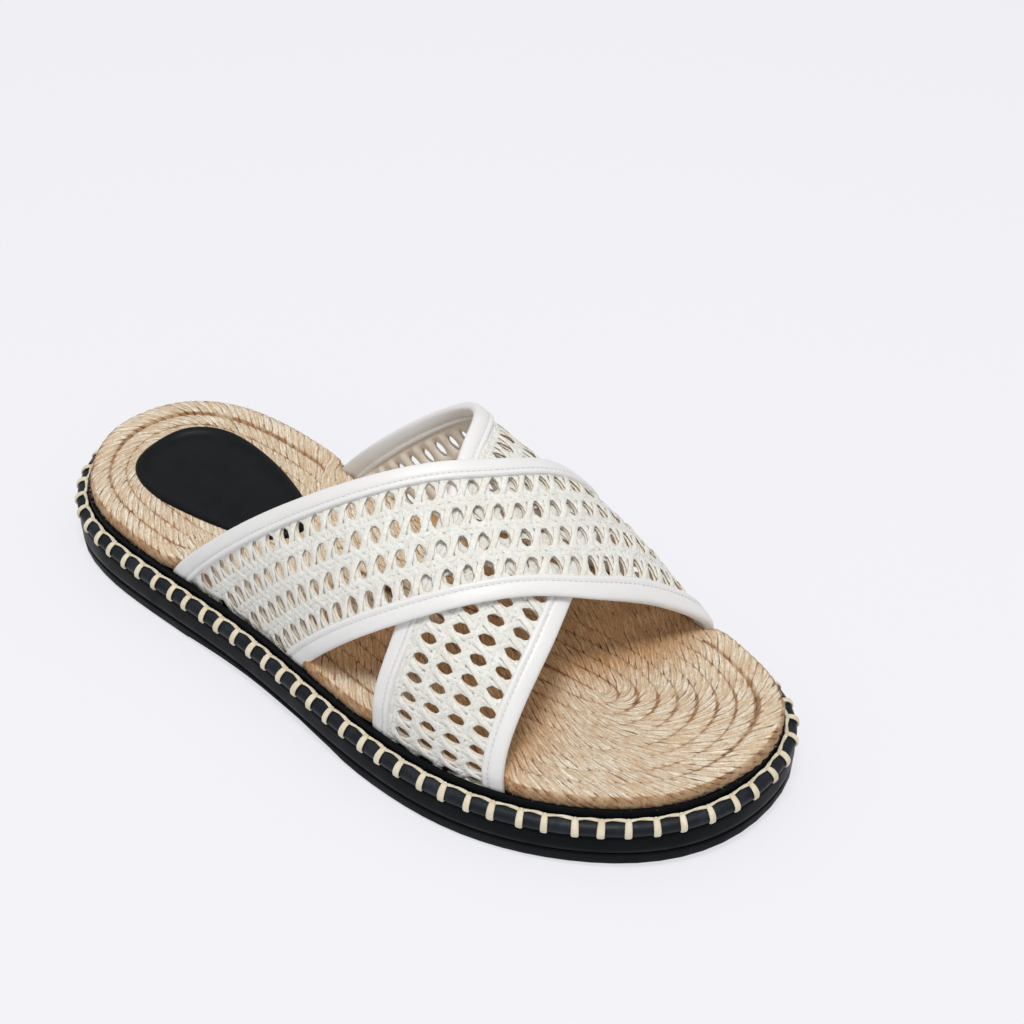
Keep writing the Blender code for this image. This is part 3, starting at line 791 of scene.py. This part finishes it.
dressed(rope, jute.shown(
    Base_Color=jute.blend(jute.mark("strap_shade"), base, JUTE_UNDER_STRAP_SHADE, "MULTIPLY"),
    Roughness=0.85,
    Specular_IOR_Level=0.25,
    Sheen_Weight=0.12,
    Sheen_Roughness=0.6,
    Normal=jute.bump(relief, 0.55, 0.00022, fine),
))
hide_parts("footbed")

# The board that the rope is glued to fills the well of the midsole under it.
BOARD_PROFILE = ((0.0084, 0.0137), (0.0084, 0.0178), (0.009, 0.0184), (0.011, 0.0186))
board = moulding("footbed_board", BOARD_PROFILE)
matting = Finish("jute_board")
weave = matting.noise(420.0, 4.0, 0.7)
dressed(board, matting.shown(
    Base_Color=matting.blend(weave, (0.16, 0.085, 0.035), (0.34, 0.2, 0.09)),
    Roughness=0.9,
    Normal=matting.bump(weave, 0.8, 0.0005),
))

# Loose jute fibres: one fine bent hair is made, and copied in many sizes and turns. Most hang from the outer turn
# over the lip, and the rest lie on the rope, combed along its plies.
HAIRS_AT_EDGE, HAIRS_ON_TOP = 3600, 1500
EDGE_HAIR, TOP_HAIR = (0.0007, 0.0017), (0.0018, 0.0042)
PAD_REACH = 0.118  # the inner turns carry none up to here


def hair_shape(along, turn):
    thin = 0.024 * (1.0 - 0.7 * along)
    return along, 0.07 * np.sin(np.pi * along * 0.9) + thin * np.cos(turn), 0.08 * along**2 + thin * np.sin(turn)


one, faces = taken(tube("one_hair", 3, 3, hair_shape, ends=False))
rng = np.random.default_rng(21)
hairs = []
for count in range(HAIRS_AT_EDGE + HAIRS_ON_TOP):
    edge = count < HAIRS_AT_EDGE
    number = 0 if edge else int(rng.integers(0, 6))
    line = laid_lines[number]
    share = np.array([rng.random()])
    plan, inward = at(line, share)[0], at(inward_of(line), share)[0]
    if not edge and plan[0] < PAD_REACH and number > 1:
        continue
    wide = OUTER_HALF_WIDTH + OUTER_SPREAD * float(far_side(plan[None])[0]) if number == 0 else ROPE_HALF_WIDTH
    ahead = np.array([inward[1], -inward[0]])
    length = rng.uniform(*(EDGE_HAIR if edge else TOP_HAIR))
    swing = rng.normal(0.35, 0.5) if edge else rng.choice((0.0, np.pi)) + rng.normal(0.85, 0.35)
    tilt = rng.uniform(-0.9, 0.1) if edge else rng.uniform(0.0, 0.16)
    turn = rng.uniform(-0.1, 0.75) if edge else rng.uniform(0.9, np.pi - 0.9)
    root = plan - inward * wide * 0.93 * power(math.cos(turn), 0.6)
    height = ROPE_MIDDLE + ROPE_HALF_HEIGHT * 0.97 * power(math.sin(turn), 0.42) + float(level(plan[0]))
    forward = -inward * math.cos(swing) + ahead * math.sin(swing)
    axis = np.array([*(forward * math.cos(tilt)), math.sin(tilt)])
    aside = np.cross((0.0, 0.0, 1.0), axis)
    aside *= rng.choice((-1.0, 1.0)) / np.linalg.norm(aside)
    axes = np.array([axis * length, aside * length, np.cross(axis, aside) * length * rng.choice((-1.0, 1.0))])
    hairs.append(placed(root[None], height) + one @ axes)
loose = sewn_up(copied("loose_fibres", faces, hairs), within=AS_ONE)
fluff = Finish("jute_fibre")
fluff_tone = fluff.blend(fluff.noise(200.0, 2.0), (0.5, 0.32, 0.17), (0.9, 0.74, 0.52))
dressed(loose, fluff.shown(Base_Color=fluff_tone, Roughness=0.7))

# ---- Heel pad ----
# A soft egg-shaped pad under the heel: black leather over thin foam, with a rolled rim and a pressed trough
# inside it. It is glued on the rope, and its face is left plain.
PAD_BLACK, PAD_SHEEN = (0.0024, 0.0034, 0.0044), (0.0046, 0.0062, 0.0076)
# Distance from the heel, and the lateral and the medial edge there.
PAD_EDGE = (
    (0.021, 0.0025, 0.0025), (0.0245, -0.009, 0.016), (0.033, -0.0142, 0.0222), (0.044, -0.016, 0.0233),
    (0.056, -0.0158, 0.0214), (0.068, -0.0143, 0.018), (0.079, -0.0115, 0.0132), (0.087, -0.0065, 0.0078),
    (0.09, 0.0004, 0.0004),
)
PAD_POINTS = 160
PAD_BASE, PAD_MIDDLE = 0.022, (0.053, 0.0035)
# In from the edge, and height over the rope; then the same with shares of the way to the middle.
PAD_ROWS = (
    (0.0004, -0.0022), (0.0, -0.0008), (0.0, 0.0004), (0.0002, 0.0011), (0.0007, 0.0016),
    (0.0015, 0.0019), (0.0023, 0.0019), (0.0032, 0.0014), (0.0042, 0.0009), (0.0052, 0.0008),
)
PAD_INNER_ROWS = ((0.1, 0.0009), (0.25, 0.001), (0.45, 0.0012), (0.65, 0.0013), (0.85, 0.0013))

medial = [(x, high) for x, _, high in PAD_EDGE]
lateral = [(x, low) for x, low, _ in PAD_EDGE[-2:0:-1]]
pad_ring = closed_curve(medial + lateral, PAD_POINTS)
pad_inward = inward_of(pad_ring)
rings = [np.column_stack([pad_ring + pad_inward * inset, np.full(PAD_POINTS, height)]) for inset, height in PAD_ROWS]
inner = rings[-1][:, :2]
middle_x = PAD_MIDDLE[0] + (inner[:, 0] - PAD_MIDDLE[0]) * 0.55
spine = np.column_stack([middle_x, np.full(PAD_POINTS, PAD_MIDDLE[1])])
for share, height in PAD_INNER_ROWS:
    rings.append(np.column_stack([inner + (spine - inner) * share, np.full(PAD_POINTS, height)]))
pad = patch("heel_pad_cushion", PAD_POINTS, len(rings) - 1)
pattern = points_of(pad)
row = np.rint(pattern[:, 1] * (len(rings) - 1)).astype(int)
column = np.rint(pattern[:, 0] * PAD_POINTS).astype(int) % PAD_POINTS
x, y, height = np.array(rings)[row, column].T
slow = 0.00012 * np.sin(x * 190.0 + 1.0) * np.sin(y * 260.0)
reshape(pad, placed(np.column_stack([x, y]), height + slow + PAD_BASE + level(x)))
sewn_up(capped(sewn_up(pad)))
leather = Finish("pad_black_leather")
soft = leather.noise(180.0, 4.0, 0.6)
dressed(pad, leather.shown(
    Base_Color=leather.blend(leather.ramp(soft, (0.35, 0.0), (0.7, 1.0)), PAD_BLACK, PAD_SHEEN),
    Roughness=leather.ramp(soft, (0.3, 0.36), (0.7, 0.48)),
    Specular_IOR_Level=0.17,
    Normal=leather.bump(soft, 0.25, 0.0004, leather.bump(leather.pebbles(1300.0), 0.45, 0.00014)),
))
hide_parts("heel_pad")

# ---- Strap linings ----
# Each strap is backed with thin tan suede, punched with the same ovals as the weave, so that the holes go through.
# Both straps lie on a last: its rows are (distance from the heel, crown height, the crown's shift to the medial side).
LAST = (
    (0.065, 0.0873, 0.0295), (0.11, 0.0743, 0.021), (0.155, 0.059, 0.0127), (0.195, 0.0378, 0.0053),
    (0.23, 0.002, -0.001),
)
LAST_BASE, FULLNESS = 0.0166, 0.85
LATERAL_SLOPE, MEDIAL_SLOPE = 1.1, 0.87
STRAP_BASE, STRAP_WIDTH, STRAP_WALL = 0.0055, 0.045, 0.0022
STRAP_WELD = 0.0002
SLOT_DROP, SLOT_CUT = 0.3, 0.008  # how steeply a strap goes down in its slot, and where it is cut off
# The weave's hole columns: width share of the first, pitch in shares; and where one row of holes lies along the strap.
HOLE_COLUMNS = {"under": (0.26, 0.183, 0.0501), "over": (0.206, 0.197, 0.1017)}
CELL_LONG = 0.0062
HOLE_LONG, HOLE_WIDE = 0.0029, 0.0053
LINING_HOLE = 1.08  # the lining is punched a little larger than the weave's openings
WEAVE_SHARES = (0.115, 0.885)
LINING_PLACE, LINING_THICK = -0.00188, 0.00045
SUEDE_TAN, SUEDE_PALE = (0.76, 0.67, 0.555), (0.9, 0.84, 0.74)

slot_ring = closed_curve(SOLE_OUTLINE, 960)
slot_ring = slot_ring + inward_of(slot_ring) * STRAP_BASE
LATERAL_SLOT, MEDIAL_SLOT = (
    chosen[np.argsort(chosen[:, 0])] for chosen in (slot_ring[slot_ring[:, 1] < 0.0], slot_ring[slot_ring[:, 1] > 0.0])
)


def last_rows(from_heel):
    """Crown height and shift, on a smooth curve through the rows of LAST."""
    rows = np.array(LAST)
    stations, values = rows[:, 0], rows[:, 1:]
    slopes = np.gradient(values, stations, axis=0)
    i = np.clip(np.searchsorted(stations, from_heel) - 1, 0, len(stations) - 2)
    step = (stations[i + 1] - stations[i])[:, None]
    t = (from_heel[:, None] - stations[i][:, None]) / step
    return cubic(t, step, values[i], slopes[i], values[i + 1], slopes[i + 1]).T


def last_points(from_heel, angle):
    """Points on the last. The angle goes from 0 at the lateral slot over the crown to pi at the medial slot."""
    crown, shift = last_rows(from_heel)
    lateral = np.interp(from_heel, LATERAL_SLOT[:, 0], LATERAL_SLOT[:, 1])
    medial = np.interp(from_heel, MEDIAL_SLOT[:, 0], MEDIAL_SLOT[:, 1])
    cosine, sine = np.cos(angle), np.abs(np.sin(angle))
    slope = MEDIAL_SLOPE + (LATERAL_SLOPE - MEDIAL_SLOPE) * smooth_step(cosine, -0.45, 0.45)
    leaned = cosine * (cosine**2 + 0.04) ** ((slope - 1.0) / 2.0)
    across = (medial + lateral) / 2.0 - (medial - lateral) / 2.0 * leaned + shift * sine**1.5
    return placed(np.column_stack([from_heel, across]), LAST_BASE + level(from_heel) + crown * sine**FULLNESS)


def last_normals(from_heel, angle):
    safe = np.clip(angle, 0.04, math.pi - 0.04)
    along = last_points(from_heel + 0.001, safe) - last_points(from_heel - 0.001, safe)
    over = last_points(from_heel, safe + 0.01) - last_points(from_heel, safe - 0.01)
    normal = np.cross(along, over)
    return normal / np.linalg.norm(normal, axis=1)[:, None]


def edge_station(edge, t):
    """A strap edge's distance from the heel."""
    lateral, medial, bulge, lean_share, crown = edge
    arc = 4.0 * t * (1.0 - t)
    return lateral + (medial - lateral) * t + arc * (bulge + 2.0 * lean_share * (1.0 - 2.0 * t)) + crown * arc**8


def strap_station(strap, t, share):
    """The distance from the heel of a place on a strap."""
    heel, toe = (edge_station(edge, t) for edge in STRAP_EDGES[strap])
    return heel + (toe - heel) * share


def over_lift(angle):
    """How far the upper strap stands off the last, where it climbs on the lower one."""
    return (STRAP_WALL - STRAP_WELD) * smooth_step(np.sin(angle), 0.05, 0.4)


def strap_points(strap, t, share, height):
    """Points of a strap: t from the lateral slot (0) to the medial one (1), share of its width from its heel edge,
    height over its outer face. Beyond either end it goes straight down in the slot."""
    inside = np.clip(t, 0.0, 1.0)
    angle = math.pi * inside
    from_heel = strap_station(strap, inside, share)
    lift = over_lift(angle) if strap == "over" else 0.0
    points = last_points(from_heel, angle) + last_normals(from_heel, angle) * np.asarray(lift + height).reshape(-1, 1)
    points[:, 2] -= np.abs(t - inside) * SLOT_DROP
    return points


def strap_table(strap):
    """Along the middle line: t, distance run, and how far t shifts across the strap so that rows stay square to it."""
    t = np.linspace(0.0, 1.0, 601)
    heel_side, middle, toe_side = (strap_points(strap, t, np.full_like(t, share), 0.0 * t) for share in (0.4, 0.5, 0.6))
    rate = np.gradient(middle, t, axis=0)
    across = (toe_side - heel_side) / 0.2
    shift = -(across * rate).sum(axis=1) / (rate**2).sum(axis=1)
    keep = np.clip(t, 0.02, 0.98)
    even = np.convolve(np.pad(np.interp(keep, t, shift), 15, mode="edge"), np.ones(31) / 31.0, mode="valid")
    return t, run_of(middle), even


STRAP_TABLES = {strap: strap_table(strap) for strap in STRAP_EDGES}


def laid_on_strap(piece, strap):
    """Moves a piece from the flat pattern (metres along the middle line, across it, and up) to its strap, and cuts
    off what would go below the slot."""
    along, aside, up = points_of(piece).T
    t, run, shift = STRAP_TABLES[strap]
    ends = np.clip(along, 0.0, run[-1])
    middle = np.interp(ends, run, t) + (along - ends) / SLOT_DROP
    t = middle + np.interp(ends, run, shift) * aside / STRAP_WIDTH
    reshape(piece, strap_points(strap, t, 0.5 + aside / STRAP_WIDTH, up))
    buried = (np.maximum(-t, t - 1.0) > SLOT_CUT).tolist()
    work = bmesh.new()
    work.from_mesh(piece.data)
    work.verts.ensure_lookup_table()
    bmesh.ops.delete(work, geom=[vert for vert, gone in zip(work.verts, buried) if gone], context="VERTS")
    work.to_mesh(piece.data)
    work.free()


def hole_grid(strap):
    """Rows and columns of the holes on the flat pattern: first row, count, the columns' places and pitch."""
    first, pitch, row = HOLE_COLUMNS[strap]
    columns = (first + pitch * np.arange(4) - 0.5) * STRAP_WIDTH
    length = STRAP_TABLES[strap][1][-1]
    start = row - CELL_LONG * math.ceil((row + 0.012) / CELL_LONG)
    count = int((length + 0.012 - start) / CELL_LONG) + 1
    return start, count, columns, pitch * STRAP_WIDTH


def lining_cell(wide):
    """One square of suede with its oval hole: a ring of sixteen points, extruded out to the square's border."""
    bpy.ops.object.select_all(action="DESELECT")
    bpy.ops.mesh.primitive_circle_add(vertices=16, radius=1.0, location=(0.0, 0.0, 0.0))
    cell = bpy.context.object
    bpy.ops.object.mode_set(mode="EDIT")
    bpy.ops.mesh.select_all(action="SELECT")
    bpy.ops.mesh.extrude_edges_move()
    bpy.ops.object.mode_set(mode="OBJECT")
    outer = np.zeros(len(cell.data.vertices), bool)
    cell.data.vertices.foreach_get("select", outer)
    ring = points_of(cell)[:, :2]
    square = ring / np.abs(ring).max(axis=1)[:, None] * (CELL_LONG / 2.0, wide / 2.0)
    oval = ring * (LINING_HOLE * HOLE_LONG / 2.0, LINING_HOLE * HOLE_WIDE / 2.0)
    flat = np.where(outer[:, None], square, oval)
    reshape(cell, np.column_stack([flat, np.zeros(len(flat))]))
    return cell


nap = Finish("tan_suede")
suede = nap.shown(
    Base_Color=nap.blend(nap.noise(130.0, 3.0, 0.6), SUEDE_TAN, SUEDE_PALE),
    Roughness=0.9,
    Sheen_Weight=0.15,
    Normal=nap.bump(nap.noise(900.0, 4.0, 0.7), 0.5, 0.0002),
)
weave_low, weave_high = ((share - 0.5) * STRAP_WIDTH for share in WEAVE_SHARES)

for strap in ("under", "over"):
    start, count, columns, wide = hole_grid(strap)
    one, faces = taken(lining_cell(wide))
    places = [(start + CELL_LONG * row, column, LINING_PLACE) for row in range(count) for column in columns]
    lining = copied(f"{strap}_strap_lining", faces, [one + place for place in places])
    flat = points_of(lining)
    low, high = columns[0] - wide / 2.0, columns[-1] + wide / 2.0
    flat[:, 1] = np.where(flat[:, 1] < low + 1e-5, min(low, weave_low), flat[:, 1])
    flat[:, 1] = np.where(flat[:, 1] > high - 1e-5, max(high, weave_high), flat[:, 1])
    reshape(lining, flat)
    sewn_up(lining)
    laid_on_strap(lining, strap)
    sewn_up(lining)
    wall = lining.modifiers.new("wall", "SOLIDIFY")
    wall.thickness, wall.offset = LINING_THICK, 0.0
    bpy.ops.object.modifier_apply(modifier="wall")
    dressed(lining, suede)
    length = STRAP_TABLES[strap][1][-1]

# ---- Woven straps ----
# Off-white leather strips in an open cane weave, seven strips to each hole: pairs run along and across the strap,
# and single strips run both ways on the slant and cut the corners of the holes. One strip of each kind is copied.
STRIP_THICK, PAIR_WAVE = 0.00038, 0.00013
WEAVE_MIDDLE = -0.00088
SLANT_WIDTH, SLANT_WAVE, SLANT_RISE, SLANT_BOW = 0.002, 0.00022, 0.00014, 0.00038
STRIP_WHITE, STRIP_LIGHT, STRIP_RAW = (0.83, 0.806, 0.746), (0.9, 0.884, 0.832), (0.42, 0.31, 0.19)
STRIP_CREASE_SHADE = (0.86, 0.84, 0.8)
WOBBLE = 0.00012


def one_strip(length, width, steps):
    """A straight leather strip along x from 0, nearly flat with soft edges. With its points and faces goes how near
    each point is to a cut edge."""

    def shape(share, turn):
        return share * length, width / 2.0 * power(np.cos(turn), 0.5), STRIP_THICK / 2.0 * power(np.sin(turn), 0.45)

    points, faces = taken(tube("one_strip", steps, 8, shape))
    return points, faces, np.abs(points[:, 1]) * 2.0 / width


def weave_of(strap):
    start, count, columns, wide = hole_grid(strap)
    low, high = weave_low, weave_high
    seams = columns[0] + wide * (np.arange(5) - 0.5)
    draw = np.random.default_rng(31 if strap == "over" else 32)

    def wobbled(x, y, z):
        """Hand-laid strips aren't quite straight."""
        phase = draw.uniform(0.0, 6.28, 2)
        x = x + WOBBLE * (np.sin(y * 620.0 + phase[0]) + 0.6 * np.sin(y * 1700.0 + phase[1]))
        y = y + WOBBLE * (np.sin(x * 580.0 + phase[1]) + 0.6 * np.sin(x * 1500.0 + phase[0]))
        return np.column_stack([x, y, z + WEAVE_MIDDLE + draw.normal(0.0, 0.00003)])

    def woven(master, laid, places):
        points, faces, edge = master
        made = copied("strips", faces, [laid(*points.T, *place) for place in places])
        marked(made, "cut_edge", np.tile(edge, len(places)))
        return made

    apart = (CELL_LONG - HOLE_LONG) / 4.0

    def laid_across(along, aside, up, row, side):
        y = along + low
        wave = side * PAIR_WAVE * np.sin(2.0 * np.pi * (y - seams[0]) / wide)
        return wobbled(aside + (start + CELL_LONG * (row + 0.5) + side * apart), y, up + wave)

    part = (wide - HOLE_WIDE) / 4.0

    def laid_along(along, aside, up, seam, side):
        wave = side * PAIR_WAVE * np.sin(2.0 * np.pi * (along - CELL_LONG / 2.0) / CELL_LONG)
        return wobbled(along + start, aside + (seam + side * part), up + wave)

    slant = math.hypot(CELL_LONG, wide)
    cells = (high - low) / wide

    def laid_slanting(along, aside, up, number, way):
        """way is 1 where the strip goes to the toe edge as it goes along the strap, -1 where it comes back.
        It gives way to each hole that it passes, and dips under the pair of strips or climbs over it."""
        share = along / slant
        rows = number + 0.5 + way * (share + (low - columns[0]) / wide)
        aside = aside + SLANT_BOW * np.sin(2.0 * np.pi * rows)
        x = start + CELL_LONG * rows + aside * (wide / slant)
        y = low + share * wide - aside * (CELL_LONG / slant) * way
        return wobbled(x, y, up + way * (SLANT_WAVE * np.cos(2.0 * np.pi * rows) - SLANT_RISE))

    sides, reach = (-1, 1), int(cells) + 2
    pairs_across = [(row, side) for row in range(count) for side in sides]
    pairs_along = [(seam, side) for seam in seams for side in sides if low < seam + side * part < high]
    made = [woven(one_strip(high - low, apart * 2.0, 34), laid_across, pairs_across)]
    made.append(woven(one_strip(CELL_LONG * count, part * 2.0, count * 7), laid_along, pairs_along))
    strip = one_strip(slant * cells, SLANT_WIDTH, 44)
    made += [woven(strip, laid_slanting, [(n, way) for n in range(-reach, count + reach)]) for way in (1, -1)]
    weave = as_one(f"{strap}_strap_weave", *made)
    laid_on_strap(weave, strap)
    capped(weave)
    return sewn_up(weave, within=AS_ONE)


leather = Finish("white_strip_leather")
tone = leather.noise(240.0, 3.0, 0.6)
pores = leather.noise(2300.0, 3.0, 0.7)
wrinkles = leather.noise(620.0, 4.0, 0.7, 1.2)
folds = leather.noise(380.0, 3.0, 0.6, 2.2)
shaded_crease = leather.math("ABSOLUTE", leather.math("SUBTRACT", folds, 0.5))
white = leather.blend(leather.ramp(tone, (0.35, 0.0), (0.7, 1.0)), STRIP_WHITE, STRIP_LIGHT)
# Thin darker lines along the folds: painted shade in the creases.
white = leather.blend(leather.ramp(shaded_crease, (0.0, 1.0), (0.035, 0.0)), white, STRIP_CREASE_SHADE, "MULTIPLY")
cut = leather.ramp(leather.mark("cut_edge"), (0.86, 0.0), (0.97, 1.0))
raw = leather.math("MULTIPLY", cut, leather.ramp(tone, (0.38, 1.0), (0.62, 0.25)))
fine = leather.bump(pores, 0.25, 0.00006)
strip_leather = leather.shown(
    Base_Color=leather.blend(raw, white, STRIP_RAW),
    Roughness=leather.ramp(wrinkles, (0.3, 0.5), (0.7, 0.66)),
    Subsurface_Weight=0.06,
    Subsurface_Scale=0.001,
    Specular_IOR_Level=0.22,
    Normal=leather.bump(wrinkles, 0.85, 0.0004, leather.bump(folds, 0.8, 0.0005, fine)),
)
for strap in ("under", "over"):
    weave = weave_of(strap)
    dressed(weave, strip_leather)
    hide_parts("upper")

# ---- Bindings ----
# Each strap edge is wrapped in a folded strip of smooth white leather: a rounded edge, a line of fine stitches in
# a sunk groove, and the raised turning beyond it where the strip ends on the weave.
BINDING_PROUD, BINDING_GAP = 0.0006, 0.0003
BINDING_STEPS = 180
BINDING_WHITE, BINDING_LIGHT = (0.775, 0.772, 0.757), (0.82, 0.818, 0.808)
# Across from the edge, share from the middle (0) to the outer face (1) or the inner face (-1), and extra height there.
BINDING_PROFILE = (
    (0.0, 0.0), (0.0001, 0.4), (0.0004, 0.7), (0.00095, 0.9), (0.0017, 0.98), (0.0026, 1.0, 0.00004),
    (0.0035, 1.0, 0.00002), (0.00395, 1.0, -0.00008), (0.00425, 1.0, -0.00026), (0.00455, 1.0, -0.00028),
    (0.00482, 1.0, -0.00008), (0.0052, 1.0, 0.00006), (0.0056, 1.0, 0.00006), (0.00595, 1.0, -0.00012),
    (0.00622, 1.0, -0.0005), (0.0063, 0.3), (0.0063, -0.3), (0.00622, -1.0, 0.0004),
    (0.0058, -1.0, 0.00005), (0.0048, -1.0), (0.00455, -1.0, 0.0002), (0.0043, -1.0, 0.0002),
    (0.004, -1.0), (0.0026, -1.0), (0.0017, -0.98), (0.00095, -0.9), (0.0004, -0.7), (0.0001, -0.4),
)
STITCH_PITCH, STITCH_LONG, STITCH_ACROSS = 0.00178, 0.00122, 0.0044
STITCH_HALF_WIDTH, STITCH_HALF_THICK = 0.00017, 0.00016
STITCH_SUNK = {1: -0.0002, -1: 0.00012}
THREAD_GREY, THREAD_WHITE = (0.6, 0.595, 0.58), (0.76, 0.755, 0.74)


def binding_faces(strap, t, share):
    """Heights of a binding's inner and outer face over the strap's own outer face. Where the straps cross, the
    face that would run into the other strap stays clear of it."""
    inside = np.clip(t, 0.0, 1.0)
    proud = BINDING_PROUD * smooth_step(np.sin(math.pi * inside), 0.05, 0.16)
    from_heel = strap_station(strap, inside, share)
    heel, toe = (edge_station(edge, inside) for edge in STRAP_EDGES["over" if strap == "under" else "under"])
    hidden = smooth_step(np.minimum(from_heel - heel, toe - from_heel), -0.018, -0.004)
    free = -STRAP_WALL - proud
    if strap == "under":
        return free, proud + (-STRAP_WELD - BINDING_GAP - proud) * hidden
    return free + (BINDING_GAP - over_lift(math.pi * inside) - free) * hidden, proud


def binding_points(strap, side, t, across, place, extra):
    share = across / STRAP_WIDTH
    if side == "toe":
        share = 1.0 - share
    inner, outer = binding_faces(strap, t, share)
    height = (inner + outer) / 2.0 + (outer - inner) / 2.0 * place + extra
    return strap_points(strap, t, share, height)


def binding(strap, side):
    rows = np.array([(*row, 0.0)[:3] for row in BINDING_PROFILE])
    piece = patch(f"{strap}_binding_{side}", BINDING_STEPS, len(rows))
    pattern = points_of(piece)
    across, place, extra = rows[np.rint(pattern[:, 1] * len(rows)).astype(int) % len(rows)].T
    t = pattern[:, 0]
    t = t - 0.35 * np.sin(2.0 * np.pi * t) / (2.0 * np.pi)
    t = t * 1.018 - 0.009
    reshape(piece, binding_points(strap, side, t, across, place, extra))
    return sewn_up(capped(sewn_up(piece)))


def stitch_shape(share, turn):
    swell = np.sqrt(np.clip(1.0 - (2.0 * share - 1.0) ** 2 * 0.9, 0.0, 1.0))
    side, up = STITCH_HALF_WIDTH * swell * np.cos(turn), STITCH_HALF_THICK * swell * np.sin(turn)
    return (share - 0.5) * STITCH_LONG, side, up


def binding_stitches(strap, side, face):
    """A row of short stitches sunk in the groove of a binding, on its outer (1) or inner (-1) face."""
    t = np.linspace(0.004, 0.996, 900)
    run = run_of(binding_points(strap, side, t, STITCH_ACROSS + 0.0 * t, face, 0.0))
    one, faces = taken(tube("one_stitch", 4, 6, stitch_shape))
    places = [(STITCH_PITCH * (k + 0.5), 0.0, 0.0) for k in range(int(run[-1] / STITCH_PITCH))]
    row = copied(f"{strap}_{side}_stitches", faces, [one + place for place in places])
    along, aside, up = points_of(row).T
    t = np.interp(along, run, t)
    reshape(row, binding_points(strap, side, t, STITCH_ACROSS + aside, face, STITCH_SUNK[face] + up * face))
    return sewn_up(row, within=AS_ONE)


leather = Finish("white_binding_leather")
folds = leather.noise(160.0, 4.0, 0.6)
binding_leather = leather.shown(
    Base_Color=leather.blend(leather.noise(70.0), BINDING_WHITE, BINDING_LIGHT),
    Roughness=leather.ramp(folds, (0.3, 0.38), (0.7, 0.5)),
    Subsurface_Weight=0.05,
    Subsurface_Scale=0.001,
    Normal=leather.bump(folds, 0.12, 0.00025, leather.bump(leather.pebbles(2100.0), 0.15, 0.00004)),
)
thread = Finish("white_sewing_thread")
thread_tone = thread.blend(thread.noise(900.0, 2.0), THREAD_GREY, THREAD_WHITE)
sewing_thread = thread.shown(Base_Color=thread_tone, Roughness=0.6)

for strap in ("under", "over"):
    for side in ("heel", "toe"):
        edge = binding(strap, side)
        dressed(edge, binding_leather)
        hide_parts(f"{strap}_strap_binding_{side}_side")
        rows = [binding_stitches(strap, side, face) for face in (1, -1)]
        dressed(as_one(f"{strap}_binding_{side}_stitches", *rows), sewing_thread)

bpy.context.view_layer.update()
low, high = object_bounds()
